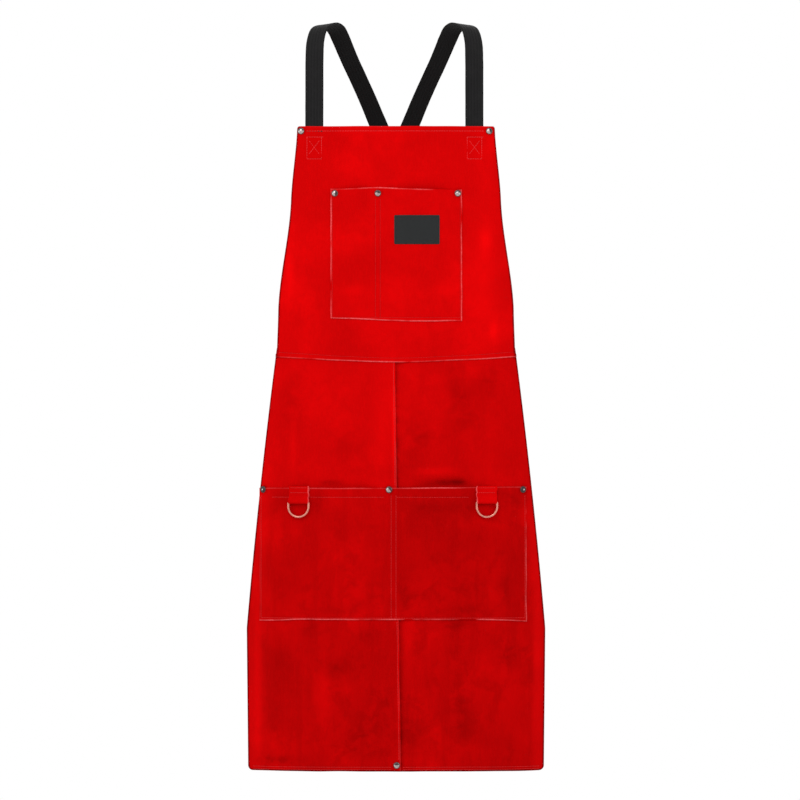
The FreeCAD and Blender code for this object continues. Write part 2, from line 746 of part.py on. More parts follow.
def block(name, x0, y0, z0, x1, y1, z1):
    """A box between two corners."""
    box = doc.addObject("Part::Box", name)
    bind(box, Placement__Base__x=x0, Placement__Base__y=y0, Placement__Base__z=z0)
    return bind(box, Length=f"({x1}) - ({x0})", Width=f"({y1}) - ({y0})", Height=f"({z1}) - ({z0})")


def d_ring_tab(side, x):
    """A tab of hide, folded round the ring's bar and sewn to the pocket above it."""
    half, eye = f"({S('d_tab_width')} / 2)", f"({S('d_tab_eye_width')} / 2)"
    near, far = f"({EYE_OUTER} - 2 * {S('d_tab_thickness')})", EYE_OUTER
    neck, top = S("d_tab_neck"), S("d_tab_length")
    eye_rod = cylinder_along_x(f"{side}_tab_eye", EYE_OUTER, S("d_tab_eye_width"))
    neck_box = block(f"{side}_tab_neck", f"(-{eye})", near, "0", eye, far, neck)
    plate = block(f"{side}_tab_plate", f"(-{half})", near, neck, half, far, top)
    whole = fuse(f"{side}_tab_whole", [eye_rod, neck_box, plate])
    bore = cylinder_along_x(f"{side}_tab_bore", EYE_INNER, f"2 * {S('d_tab_width')}")
    tab = drilled(f"{side}_tab_cut", whole, bore)
    return node(put_on_layer(tab, x, D_RING_LEVEL, D_RING_LAYER), f"{side}_d_ring_tab")


for side in ("left", "right"):
    place = S(f"{side}_d_ring_x")
    d_ring_tab(side, place)
    half_width = S("d_ring_half_width")
    ring = bent_wire(f"{side}_d_ring", half_width, S("d_ring_height"), S("d_ring_corner_radius"), half_width)
    node(put_on_layer(ring, place, D_RING_LEVEL, D_RING_LAYER), f"{side}_d_ring")

# ---------------------------------------------------------------- straps, waist tabs and rings


def size(alias):
    """A size as a number, for the shapes that are lofted along a route."""
    return value(S(alias))


def ribbon(label, route, width, thickness):
    """A flat strip along a route of (place, rough direction across it)."""
    wires = []
    for number, (place, across) in enumerate(route):
        before, after = route[max(number - 1, 0)][0], route[min(number + 1, len(route) - 1)][0]
        along = (after - before).normalize()
        across = (across - along * across.dot(along)).normalize()
        out = along.cross(across)
        corners = [
            place + across * (i * width / 2) + out * (j * thickness / 2)
            for i, j in ((-1, -1), (1, -1), (1, 1), (-1, 1), (-1, -1))
        ]
        wires.append(Part.makePolygon(corners))
    strip = doc.addObject("Part::Feature", label)
    strip.Shape = Part.makeLoft(wires, True, True)
    return strip


# the straps' way over the left shoulder and down the back, to where they cross. Each point is its share
# of the way across to the crossing, its depth as a share of the front's (-) or the back's (+), its drop
# as a share of the bib top's, the rough direction across the strap, and 1 where the straps pass
SHOULDER_ROUTE = [
    (0.000, -0.735, 0.610, (1, -0.06, 0), 0),
    (0.000, -0.560, 0.345, (1, -0.06, 0.02), 0),
    (0.010, -0.390, 0.170, (0.98, -0.16, 0.06), 0),
    (0.060, -0.200, 0.040, (0.95, -0.24, 0.10), 0),
    (0.165, 0.000, -0.006, (0.94, -0.26, 0.14), 0),
    (0.262, 0.220, 0.035, (0.93, -0.10, 0.22), 0),
    (0.325, 0.390, 0.125, (0.92, 0.10, 0.32), 0),
    (0.385, 0.540, 0.232, (0.90, 0.25, 0.37), 0),
    (0.455, 0.690, 0.355, (0.88, 0.34, 0.38), 1),
    (0.555, 0.830, 0.518, (0.88, 0.34, 0.38), 1),
    (0.668, 0.930, 0.710, (0.90, 0.28, 0.38), 1),
    (0.785, 0.985, 0.925, (0.92, 0.18, 0.38), 1),
    (1.000, 1.000, 1.305, (0.92, 0, 0.40), 1),
]
# and from there round the flank: how far round to the waist ring's run, how far down to it, and 1 where
# the straps pass
BACK_ROUTE = [(0.133, 0.262, 1), (0.266, 0.440, 1), (0.443, 0.614, 0), (0.620, 0.754, 0), (0.800, 0.875, 0)]

BACK_RADIUS = size("strap_back_depth") - (
    size("waist_ring_y") + size("strap_run_length") * math.cos(math.radians(size("flank_angle")))
)
RING_DIRECTION = math.radians(size("flank_angle"))


def round_the_back(distance):
    """The place and direction, in plan, at a distance from the middle of the back along the torso."""
    straight = size("flank_x") - BACK_RADIUS
    if distance <= straight:
        return Vector(distance, size("strap_back_depth"), 0), Vector(1, 0, 0)
    turned = (distance - straight) / BACK_RADIUS
    x = straight + BACK_RADIUS * math.sin(turned)
    y = size("strap_back_depth") - BACK_RADIUS * (1 - math.cos(turned))
    return Vector(x, y, 0), Vector(math.cos(turned), -math.sin(turned), 0)


RING_CENTRE = Vector(size("flank_x"), size("waist_ring_y"), value(drop(S("waist_ring_drop"))))
ALONG = Vector(0, math.cos(RING_DIRECTION), math.sin(RING_DIRECTION))
ACROSS = Vector(0, -math.sin(RING_DIRECTION), math.cos(RING_DIRECTION))
OUT = Vector(1, 0, 0)
HINGE_CENTRE = RING_CENTRE - ALONG * size("waist_ring_pitch")
# the middle between the straps' places on the bib, where they also cross
STRAP_MIDDLE = (size("left_strap_x") + size("right_strap_x")) / 2
# how the loop round the waist ring narrows to the doubled run
LOOP_NECK, LOOP_NECK_WIDTH, LOOP_STEPS = 1 / 3, 0.85, 6


def strap_route():
    """The route of the strap that starts at the left of the bib and ends at the right of the waist. Each
    point is its place, the rough direction across the strap, and 1 where the straps pass each other."""
    thick = size("strap_thickness")
    front = S("left_strap_x")
    turn = math.radians(value(turn_at(front, BIB_LAYER)))
    inward = Vector(-math.sin(turn), math.cos(turn), 0)
    sewn = Vector(value(front), value(depth_at(front, BIB_LAYER)), value(BIB_TOP))
    sewn += inward * (size("strap_sewn_gap") + thick / 2)
    level = Vector(math.cos(turn), math.sin(turn), 0)
    route = [(sewn - Vector(0, 0, size("strap_sewn_length")), level, 0), (sewn, level, 0)]
    for x_share, y_share, z_share, across, passing in SHOULDER_ROUTE:
        x = value(front) + (STRAP_MIDDLE - value(front)) * x_share
        y = y_share * (size("front_depth") if y_share < 0 else size("strap_back_depth"))
        place = Vector(x, y, value(BIB_TOP) * z_share)
        route.append((place, Vector(*across), passing))
    crossing = route[-1][0].z
    run_end = RING_CENTRE + ALONG * size("strap_run_length")
    whole_way = size("flank_x") - BACK_RADIUS + BACK_RADIUS * math.pi / 2
    for share, drop_share, passing in BACK_ROUTE:
        place, forward = round_the_back(whole_way * share)
        place.z = crossing + (run_end.z - crossing) * drop_share
        route.append((place, forward + Vector(0, 0, 1), passing))
    run = (thick + size("strap_run_gap")) / 2
    loop = (thick + size("strap_loop_gap")) / 2
    start = size("strap_run_start")
    neck, neck_off = start * LOOP_NECK, loop * LOOP_NECK_WIDTH
    for along, off in ((size("strap_run_length"), -run), (start, -run), (neck, -neck_off)):
        route.append((RING_CENTRE + ALONG * along + OUT * off, ACROSS, 0))
    for step in range(LOOP_STEPS + 1):
        turned = math.pi * step / LOOP_STEPS
        offset = OUT * (-loop * math.cos(turned)) - ALONG * (loop * math.sin(turned))
        route.append((RING_CENTRE + offset, ACROSS, 0))
    for along, off in ((neck, neck_off), (start, run), (size("strap_tail_length"), run)):
        route.append((RING_CENTRE + ALONG * along + OUT * off, ACROSS, 0))
    return route


def mirrored(vector, middle=0):
    """A vector on the other side of a plane across X."""
    return Vector(2 * middle - vector.x, vector.y, vector.z)


# the two straps start at their own places on the bib, and end as mirror images at the waist
whole_route = strap_route()
above_back = 2 + len(SHOULDER_ROUTE)
apart = Vector(0, (size("strap_thickness") + size("strap_cross_gap")) / 2, 0)
strap_routes = {"left": [], "right": []}
for number, (place, across, passing) in enumerate(whole_route):
    other = mirrored(place, STRAP_MIDDLE if number < above_back else 0)
    strap_routes["left"].append((place + apart * passing, across))
    strap_routes["right"].append((other - apart * passing, mirrored(across)))
for name, route in strap_routes.items():
    node(ribbon(f"{name}_strap_ribbon", route, size("strap_width"), size("strap_thickness")), f"{name}_strap")


def frame_at(place, side):
    """The placement that lays a piece's X along the ring's bar and its -Z along the strap. A strap at
    the left flank is the mirror image of one at the right."""
    x_axis, z_axis = ACROSS, ALONG * -1
    if side < 0:
        place, x_axis, z_axis = mirrored(place), mirrored(x_axis), mirrored(z_axis)
    y_axis = z_axis.cross(x_axis)
    matrix = FreeCAD.Matrix(
        x_axis.x, y_axis.x, z_axis.x, place.x,
        x_axis.y, y_axis.y, z_axis.y, place.y,
        x_axis.z, y_axis.z, z_axis.z, place.z,
    )
    return FreeCAD.Placement(matrix)


# the tab's end reaches this share of the eye's radius from its centre
EYE_OVERLAP = 0.8


def waist_tab(label, side):
    """A doubled strip of hide behind the waist corner, bent back along the flank, with an eye."""
    thick = size("waist_tab_thickness")
    centre_x, centre_y, outer = (value(part) for part in arc_of(1, SKIRT_LAYER))
    radius = outer - size("waist_tab_gap") - thick / 2
    centre = Vector(centre_x, centre_y, 0)
    bend = size("waist_tab_bend_radius")
    corner_x = size("flank_x") - bend
    lean = math.asin((corner_x - centre.x) / (radius - bend))
    corner = centre + Vector(math.sin(lean), -math.cos(lean), 0) * (radius - bend)
    plan = []
    first = math.asin((size("waist_tab_inner_x") - centre.x) / radius)
    for share in (0, 1 / 3, 2 / 3, 1):
        angle = first + (lean - first) * share
        forward = Vector(math.cos(angle), math.sin(angle), 0)
        plan.append((centre + Vector(math.sin(angle), -math.cos(angle), 0) * radius, forward))
    for share in (0.25, 0.5, 0.75, 1):
        angle = lean + (math.pi / 2 - lean) * share
        forward = Vector(math.cos(angle), math.sin(angle), 0)
        plan.append((corner + Vector(math.sin(angle), -math.cos(angle), 0) * bend, forward))
    eye_inner = size("ring_wire_radius") + size("d_tab_clearance")
    eye = eye_inner + size("waist_tab_wall")
    end = HINGE_CENTRE - ALONG * (EYE_OVERLAP * eye)
    plan.append((Vector(end.x, end.y, 0), Vector(0, 1, 0)))
    route, height = [], end.z
    for number in range(len(plan) - 1, -1, -1):
        place, forward = plan[number]
        if number < len(plan) - 1:
            height -= (plan[number + 1][0] - place).Length * math.tan(RING_DIRECTION)
        across = forward * -math.sin(RING_DIRECTION) + Vector(0, 0, 1)
        route.append((Vector(place.x, place.y, height), across))
    if side < 0:
        route = [(mirrored(place), mirrored(across)) for place, across in route]
    strip = ribbon(f"{label}_strip", route, size("waist_tab_width"), thick)
    rod = cylinder_along_x(f"{label}_eye", str(eye), S("waist_tab_width"))
    bore = cylinder_along_x(f"{label}_bore", str(eye_inner), f"2 * {S('waist_tab_width')}")
    for piece in (rod, bore):
        length = value(S("waist_tab_width")) * (1 if piece is rod else 2)
        piece.setExpression("Placement.Base.x", None)
        turned = frame_at(HINGE_CENTRE, side)
        piece.Placement = turned * FreeCAD.Placement(
            Vector(-length / 2, 0, 0), FreeCAD.Rotation(Vector(0, 1, 0), 90)
        )
    whole = fuse(f"{label}_whole", [strip, rod])
    return node(drilled(f"{label}_cut", whole, bore), label)


def slide(label, side):
    """A flat loop round both runs of a strap's doubled end."""
    wall, half_length = S("slide_wall"), f"({S('slide_length')} / 2)"
    half_wide = f"({S('strap_width')} / 2 + {S('slide_clearance')})"
    half_thick = f"({S('strap_thickness')} + {S('strap_run_gap')} / 2 + {S('slide_clearance')})"
    outer_wide, outer_thick = f"({half_wide} + {wall})", f"({half_thick} + {wall})"
    corner = (outer_wide, outer_thick, half_length)
    outside = block(f"{label}_outside", *(f"(-{place})" for place in corner), *corner)
    corner = (half_wide, half_thick, S("slide_length"))
    inside = block(f"{label}_inside", *(f"(-{place})" for place in corner), *corner)
    loop = drilled(f"{label}_cut", outside, inside)
    loop.Placement = frame_at(RING_CENTRE + ALONG * size("slide_place"), side)
    return node(loop, label)


for name, side in (("left", -1), ("right", 1)):
    waist_tab(f"{name}_waist_tab", side)
    ring = bent_wire(
        f"{name}_waist_ring",
        S("waist_ring_half_width"),
        S("waist_ring_pitch"),
        S("waist_ring_corner_radius"),
        S("waist_ring_corner_radius"),
    )
    ring.Placement = frame_at(HINGE_CENTRE, side)
    node(ring, f"{name}_waist_ring")
    slide(f"{name}_strap_slide", side)

# ---------------------------------------------------------------- stitching

THREAD = S("thread_thickness")
THREAD_WIDTH = S("thread_width")


def row_across(name, start, end, z, face):
    """A row of stitches level across the leather."""
    low, high = f"({z} - {THREAD_WIDTH} / 2)", f"({z} + {THREAD_WIDTH} / 2)"
    return band(name, [(start, "0"), (end, "0")], f"({face} + {GAP})", THREAD, low, high)


def row_down(name, x, bottom, top, face, lean="0 deg"):
    """A row of stitches down the leather, or leaning from upright by an angle."""
    row = doc.addObject("Part::Box", name)
    row.Placement = FreeCAD.Placement(Vector(0, 0, 0), FreeCAD.Rotation(Vector(0, 1, 0), 1))
    bind(row, Length=THREAD_WIDTH, Width=THREAD, Height=f"(({top}) - ({bottom})) / cos({lean})")
    bind(row, Placement__Base__x=f"-{THREAD_WIDTH} / 2", Placement__Base__y=f"-{THREAD}")
    bind(row, Placement__Rotation__Angle=lean)
    return put_on_layer(holder(f"{name}_held", row), x, bottom, f"({face} + {GAP})")


INSET = S("stitch_inset")
SECOND = S("stitch_row_gap")
TOP_ROW = f"({BIB_TOP} - {S('bib_hem')})"
top_row_start = f"({S('corner_rivet_left_x')} + {S('cap_radius')} + {INSET})"
top_row_end = f"({S('corner_rivet_right_x')} - {S('cap_radius')} - {INSET})"
group("bib_top_stitching", [row_across("bib_top_row", top_row_start, top_row_end, TOP_ROW, BIB_FACE)])

waist_edge = f"({S('waist_half_width')} - {INSET})"
group(
    "waist_seam_stitching",
    [
        row_across(f"waist_row_{number}", f"(-{waist_edge})", waist_edge, f"({WAIST} + {height})", BIB_FACE)
        for number, height in enumerate((INSET, f"({INSET} + {SECOND})"))
    ],
)

hem_edge = f"({S('hem_half_width')} - {S('hem_corner_radius')})"
hem_pieces = []
for number, height in enumerate((INSET, f"({INSET} + {SECOND})")):
    level = f"({HEM} + {height})"
    hem_left_end = f"({S('hem_rivet_x')} - {S('cap_radius')} - {INSET})"
    hem_right_start = f"({S('seam_hem_x')} + {INSET})"
    hem_pieces.append(row_across(f"hem_left_{number}", f"(-{hem_edge})", hem_left_end, level, HIDE))
    hem_pieces.append(row_across(f"hem_right_{number}", hem_right_start, hem_edge, level, HIDE))
group("hem_stitching", hem_pieces)

seam_lean = f"(-atan(({S('seam_hem_x')} - {S('seam_top_x')}) / ({SKIRT_TOP} - {HEM})))"


def seam_x(level):
    """Where the centre seam's stitches run at a height."""
    rise = f"(({SKIRT_TOP} - ({level})) / ({SKIRT_TOP} - {HEM}))"
    return f"({S('seam_top_x')} + ({S('seam_hem_x')} - {S('seam_top_x')}) * {rise} - {INSET})"


seam_rows = [
    (f"({WAIST_POCKET_TOP} + {INSET})", f"({WAIST} - {INSET})"),
    (f"({HEM} + {S('hem_rivet_rise')} + {S('cap_radius')} + {INSET})", f"({WAIST_POCKET_BOTTOM} - {INSET})"),
]
group(
    "centre_seam_stitching",
    [
        row_down(f"seam_row_{number}", seam_x(low), low, high, HIDE, seam_lean)
        for number, (low, high) in enumerate(seam_rows)
    ],
)

def sewn_down(label, columns, bottom, top, face):
    """Rows of stitches down the edges and the divide of a pocket."""
    rows = [row_down(f"{label}_{n}", x, bottom, top, face) for n, x in enumerate(columns)]
    return group(label, rows)


below_rivets = f"({drop(S('pocket_rivet_drop'))} - {S('cap_radius')} - {INSET})"
bib_columns = (
    f"({S('bib_pocket_left')} + {INSET})",
    f"({S('divider_x')} - {SECOND})",
    f"({S('divider_x')} + {SECOND})",
    f"({S('bib_pocket_right')} - {INSET})",
)
sewn_down("bib_pocket_stitching", bib_columns, f"({POCKET_BOTTOM} + {INSET})", below_rivets, BIB_POCKET_FACE)

below_rivets = f"({drop(S('waist_rivet_drop'))} - {S('cap_radius')} - {INSET})"
waist_columns = (
    f"({S('waist_pocket_left')} + {INSET})",
    f"({S('waist_pocket_middle_x')} - {SECOND})",
    f"({S('waist_pocket_middle_x')} + {SECOND})",
    f"({S('waist_pocket_right')} - {INSET})",
)
waist_pocket_foot = f"({WAIST_POCKET_BOTTOM} + {INSET})"
sewn_down("waist_pocket_stitching", waist_columns, waist_pocket_foot, below_rivets, WAIST_POCKET_FACE)

strap_rows = []
for side in ("left", "right"):
    x = S(f"{side}_strap_x")
    half = f"({S('strap_width')} / 2 - {INSET})"
    high = f"({BIB_TOP} - {S('strap_box_drop')})"
    low = f"({high} - {S('strap_box_height')})"
    edges = (f"({x} - {half})", f"({x} + {half})")
    strap_rows += [row_across(f"{side}_box_{n}", *edges, z, BIB_FACE) for n, z in enumerate((low, high))]
    for number, edge in enumerate(edges):
        clear = (f"({low} + {THREAD_WIDTH})", f"({high} - {THREAD_WIDTH})")
        strap_rows.append(row_down(f"{side}_box_side_{number}", edge, *clear, BIB_FACE))
group("strap_stitching", strap_rows)

tab_rows = []
tab_face = f"({EYE_OUTER} - 2 * {S('d_tab_thickness')} - {GAP})"
tab_half = f"({S('d_tab_width')} / 2 - {INSET})"
tab_levels = [f"({S('d_tab_length')} - {INSET} - {row} * {S('d_tab_row_gap')})" for row in (0, 1)]
for side in ("left", "right"):
    for number, level in enumerate(tab_levels):
        corners = (f"(-{tab_half})", f"({tab_face} - {THREAD})", f"({level} - {THREAD_WIDTH})")
        row = block(f"{side}_tab_row_{number}", *corners, tab_half, tab_face, level)
        held = holder(f"{side}_tab_row_held_{number}", row)
        tab_rows.append(put_on_layer(held, S(f"{side}_d_ring_x"), D_RING_LEVEL, D_RING_LAYER))
group("d_ring_tab_stitching", tab_rows)

# ---------------------------------------------------------------- finish

doc.recompute()
if __name__ == "__main__":
    for thing in doc.Objects:
        if {"Invalid", "Error"} & set(thing.State):
            raise SystemExit(f"{thing.Name} did not build: {thing.State}")
    os.makedirs("parts", exist_ok=True)
    for thing in NODES:
        shape = thing.Shape
        if shape.isNull() or not shape.isValid():
            raise SystemExit(f"{thing.Label} has no valid shape")
        shape.exportStep(f"parts/{thing.Label}.step")
        print(thing.Label, len(shape.Solids), round(shape.Volume), shape.BoundBox)
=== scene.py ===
"""A welding apron of suede split hide, as a Blender add-on that is run as a script."""
import itertools
import math

import bmesh
import bpy
from bpy.props import FloatProperty, FloatVectorProperty, IntProperty, PointerProperty
from mathutils import Matrix, Vector, noise


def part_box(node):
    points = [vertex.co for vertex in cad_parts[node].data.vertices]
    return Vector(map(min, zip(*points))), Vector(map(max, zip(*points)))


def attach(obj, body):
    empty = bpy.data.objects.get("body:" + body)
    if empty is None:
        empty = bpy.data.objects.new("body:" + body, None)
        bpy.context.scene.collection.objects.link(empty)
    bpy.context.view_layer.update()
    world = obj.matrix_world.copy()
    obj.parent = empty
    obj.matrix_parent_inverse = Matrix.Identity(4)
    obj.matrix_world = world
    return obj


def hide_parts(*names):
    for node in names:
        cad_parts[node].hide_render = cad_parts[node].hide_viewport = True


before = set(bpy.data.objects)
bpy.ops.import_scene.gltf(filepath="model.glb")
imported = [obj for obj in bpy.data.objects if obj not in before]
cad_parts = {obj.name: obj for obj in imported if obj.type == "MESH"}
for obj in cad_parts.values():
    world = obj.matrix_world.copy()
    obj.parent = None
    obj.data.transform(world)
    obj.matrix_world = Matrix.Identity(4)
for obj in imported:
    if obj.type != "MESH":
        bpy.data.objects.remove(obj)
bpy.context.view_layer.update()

bl_info = {
    "name": "Welding Apron",
    "version": (1, 0, 0),
    "blender": (4, 5, 0),
    "location": "View3D > Sidebar > Apron",
    "description": "Models the suede, webbing, fittings and stitching of a cross-back welding apron",
    "category": "Object",
}

# ---------------------------------------------------------------- where the leather lies

# in plan the leather follows a wide arc in front, as far as FRONT_HALF, and a narrow one at each side
FRONT_DEPTH, FRONT_HALF = 0.12, 0.15
FRONT_RADIUS, SIDE_RADIUS = 1.2, 0.14
FRONT_CENTRE_Y = FRONT_RADIUS - FRONT_DEPTH
SIDE_SINE = FRONT_HALF / FRONT_RADIUS
SIDE_X = (FRONT_RADIUS - SIDE_RADIUS) * SIDE_SINE
SIDE_Y = FRONT_CENTRE_Y - (FRONT_RADIUS - SIDE_RADIUS) * math.sqrt(1 - SIDE_SINE**2)

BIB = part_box("bib_panel")
LEFT_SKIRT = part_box("skirt_left_panel")
RIGHT_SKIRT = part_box("skirt_right_panel")
BIB_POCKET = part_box("bib_pocket")
WAIST_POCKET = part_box("waist_pocket")
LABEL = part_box("label_patch")
BIB_TOP, WAIST = BIB[1][2], BIB[0][2]
SKIRT_TOP, HEM = LEFT_SKIRT[1][2], LEFT_SKIRT[0][2]
BIB_TOP_HALF, WAIST_HALF = 0.163, BIB[1][0]
SKIRT_HALF, HEM_HALF = RIGHT_SKIRT[1][0], 0.245
WIDEST = BIB_TOP - 0.83
HEM_CORNER = 0.008
BIB_CORNER = 0.004
# how far below its top the bib has each half width
BIB_HALVES = ((0, BIB_TOP_HALF), (0.125, 0.1735), (0.30, 0.1945), (BIB_TOP - WAIST, WAIST_HALF))
# how much of each widening is eased, and how far the ends of the waist seam stand out
EASED = 0.6
NUB = 0.0022
NUB_XS = (-0.1960, 0.1970)
SKIRT_BOW = 0.0025
# the bib's lower edge: how much lower it hangs in the middle, how much higher it gets at the ends
WAIST_DROP, WAIST_LIFT = 0.0040, 0.0100
SEAM_TOP_X, SEAM_HEM_X = -0.002, LEFT_SKIRT[1][0]
SEAM_LAP = 0.025
# how far the lower panel falls back behind the lap, and how dark and how wide the lap's shadow is
LAP_DIP = 0.0024
LAP_DARK, LAP_SHADOW = 0.75, 0.0045
LABEL_STEP, LABEL_CORNER, LABEL_THICKNESS, LABEL_BORDER = 0.004, 0.002, 0.0011, 0.00035
# the least gap between two pieces
CLEAR = 0.0001

LAYER = {"skirt": 0.0, "bib": 0.0019, "bib_pocket": 0.0038, "waist_pocket": 0.0019}
DIVIDER_X = -0.030
MIDDLE_X = -0.004
WAIST_FLAT_X = 0.130
# how far the mouths of the pockets stand open
PEN_BULGE, BIB_BULGE, WAIST_BULGES = 0.0065, 0.0085, (0.0085, 0.0105)
STRAP_X = {"left": -0.135, "right": 0.1295}
D_RING_X = {"left": -0.161, "right": 0.150}
D_RING_Z = BIB_TOP - 0.62
CORNER_RIVETS_X, WAIST_RIVET_X, HEM_RIVET_X = (-0.157, 0.154), -0.0115, 0.001
HEM_RIVET_Z = HEM + 0.010
POCKET_RIVET_Z, WAIST_RIVET_Z = BIB_TOP - 0.111, BIB_TOP - 0.600
SIDES = (("left", -1), ("right", 1))

# where the skirt falls back behind the waist pocket: x, z, half width, half height, how far; and the
# heights where its mesh is closer
HOLLOWS = ((0.092, -0.766, 0.034, 0.010, 0.0060), (-0.108, -0.768, 0.034, 0.009, 0.0022))
HOLLOW_ROWS = (-0.766, -0.774)
# soft rises and hollows of the hanging hide: x, z, half width, half height, how far it stands out
SWELLS = (
    (-0.090, -0.30, 0.05, 0.12, 0.0012), (0.100, -0.42, 0.04, 0.10, -0.0014),
    (-0.150, -0.47, 0.03, 0.09, 0.0016), (0.155, -0.33, 0.02, 0.11, 0.0012),
    (-0.150, -0.66, 0.04, 0.10, -0.0022), (-0.070, -0.64, 0.05, 0.07, 0.0018),
    (0.070, -0.62, 0.04, 0.10, 0.0016), (0.140, -0.66, 0.03, 0.09, -0.0020),
    (-0.205, -0.98, 0.012, 0.16, 0.0028), (-0.170, -1.12, 0.022, 0.14, -0.0030),
    (-0.105, -1.10, 0.030, 0.16, 0.0032), (-0.040, -1.13, 0.022, 0.13, -0.0026),
    (0.055, -1.06, 0.028, 0.15, 0.0030), (0.098, -1.10, 0.016, 0.16, -0.0036),
    (0.150, -1.14, 0.020, 0.12, 0.0030), (0.190, -1.05, 0.018, 0.14, -0.0022),
    (0.222, -0.96, 0.012, 0.20, 0.0026),
)
# where the hide is held, so that it keeps to its own layer: x, z, how far the hold reaches
HOLDS = (
    (STRAP_X["left"], BIB_TOP - 0.03, 0.05), (STRAP_X["right"], BIB_TOP - 0.03, 0.05),
    (-0.101, POCKET_RIVET_Z, 0.03), (DIVIDER_X, POCKET_RIVET_Z, 0.03), (0.102, POCKET_RIVET_Z, 0.03),
    (-0.170, -0.54, 0.06), (0.170, -0.54, 0.06), (-0.220, -0.772, 0.03), (WAIST_RIVET_X, -0.772, 0.03),
    (0.210, -0.772, 0.03), (D_RING_X["left"], -0.79, 0.05), (D_RING_X["right"], -0.79, 0.05),
    (HEM_RIVET_X, HEM_RIVET_Z, 0.03),
)
HELD_TOP = 0.02
# darker patches of the nap: worn patches, and painted shadows at the mouths of the waist pocket and round the
# front rings: x, z, half width, half height, depth
SMUDGES_AND_SHADOWS = (
    (0.104, -0.7590, 0.012, 0.0048, 1.00), (0.078, -0.7600, 0.022, 0.0040, 0.85),
    (-0.109, -0.7600, 0.016, 0.0040, 0.60), (0.056, -0.8015, 0.040, 0.009, 0.50),
    (0.194, -0.795, 0.020, 0.020, 0.50), (-0.129, -0.795, 0.010, 0.018, 0.60),
    (0.120, -0.805, 0.010, 0.018, 0.50), (-0.190, -0.790, 0.020, 0.018, 0.30),
    (-0.173, -0.640, 0.020, 0.060, 0.30), (-0.086, -0.700, 0.030, 0.030, 0.25),
    (0.045, -0.684, 0.020, 0.020, 0.30), (0.103, -0.620, 0.018, 0.060, 0.35),
    (0.153, -0.586, 0.020, 0.030, 0.35), (0.126, -0.657, 0.020, 0.050, 0.20),
    (0.029, -0.710, 0.020, 0.040, 0.25), (-0.030, -0.740, 0.050, 0.015, 0.20),
    (0.012, -0.938, 0.010, 0.020, 0.50), (0.113, -0.934, 0.030, 0.020, 0.35),
    (0.180, -0.934, 0.010, 0.020, 0.40), (0.116, -0.970, 0.030, 0.010, 0.40),
    (-0.038, -0.941, 0.020, 0.020, 0.30), (0.099, -0.995, 0.030, 0.010, 0.55),
    (-0.143, -1.002, 0.018, 0.016, 0.35), (-0.190, -1.053, 0.018, 0.030, 0.40),
    (-0.096, -1.069, 0.020, 0.016, 0.45), (-0.049, -1.015, 0.020, 0.016, 0.30),
    (0.187, -1.046, 0.022, 0.022, 0.50), (0.221, -1.072, 0.012, 0.030, 0.35),
    (0.106, -1.089, 0.012, 0.050, 0.35), (0.106, -1.157, 0.020, 0.040, 0.50),
    (0.026, -1.157, 0.018, 0.045, 0.55), (-0.042, -1.157, 0.032, 0.030, 0.50),
    (-0.022, -1.120, 0.018, 0.020, 0.45), (-0.069, -1.184, 0.025, 0.020, 0.35),
    (-0.035, -1.204, 0.030, 0.010, 0.35), (-0.197, -1.219, 0.030, 0.007, 0.70),
    (0.187, -1.204, 0.008, 0.022, 0.50), (-0.203, -1.150, 0.014, 0.030, 0.30),
)
# painted highlights, where the nap is painted lighter along the skirt's sides, beside the centre seam and in
# patches on the bib and skirt: x, z, half width, half height, strength
PAINTED_HIGHLIGHTS = (
    (-0.229, -1.080, 0.0055, 0.120, 0.26), (0.234, -1.050, 0.0060, 0.150, 0.22),
    (-0.0035, -0.660, 0.0028, 0.100, 0.70), (0.0045, -1.080, 0.0020, 0.130, 0.40),
    (0.019, -1.020, 0.010, 0.070, 0.16), (-0.022, -0.680, 0.016, 0.070, 0.28),
    (0.148, -0.360, 0.010, 0.020, 0.45), (0.161, -0.510, 0.007, 0.016, 0.60),
    (-0.176, -0.420, 0.007, 0.035, 0.50), (-0.071, -0.443, 0.020, 0.010, 0.30),
    (0.081, -0.443, 0.020, 0.010, 0.30), (0.145, -0.420, 0.030, 0.100, 0.30),
    (-0.170, -0.700, 0.006, 0.050, 0.30), (0.060, -0.742, 0.030, 0.006, 0.35),
    (0.205, -0.880, 0.005, 0.060, 0.30), (-0.120, -1.120, 0.010, 0.060, 0.12),
)
# where a raw edge shows more or less: piece, edge (0 left, 1 right, 2 bottom, 3 top), place along the edge,
# half length, how much more
PALE_RUNS = (
    ("bib", 2, -0.027, 0.032, 0.9), ("bib", 2, 0.138, 0.056, 0.6), ("bib", 2, -0.115, 0.030, 0.35),
    ("waist_pocket_leather", 3, 0.064, 0.040, 2.2), ("waist_pocket_leather", 3, -0.070, 0.040, 0.6),
    ("waist_pocket_leather", 2, 0.128, 0.004, -1.0), ("waist_pocket_leather", 2, -0.006, 0.008, 0.8),
    ("skirt_left", 1, -0.735, 0.035, 0.9), ("bib_pocket_leather", 3, 0.020, 0.010, -0.6),
    ("bib_pocket_leather", 3, 0.078, 0.012, -0.4),
)


def smooth(low, high, value):
    """0 below low, 1 above high, and an even ramp between."""
    share = min(max((value - low) / (high - low), 0.0), 1.0)
    return share * share * (3 - 2 * share)


def bell(x, z, middle_x, middle_z, wide, high):
    """1 at a place, falling off evenly round it."""
    return math.exp(-(((x - middle_x) / wide) ** 2) - ((z - middle_z) / high) ** 2)


def swell(x, z):
    """How far the hanging hide stands out of its own curve, the same for every layer."""
    rise = 0.0008 * noise.noise(Vector((x * 11, 3.1, z * 7)))
    for *spot, out in SWELLS:
        rise += out * bell(x, z, *spot)
    for middle_x, middle_z, reach in HOLDS:
        rise *= 1 - math.exp(-((x - middle_x) ** 2 + (z - middle_z) ** 2) / reach**2)
    return rise * smooth(0, HELD_TOP, BIB_TOP - z)


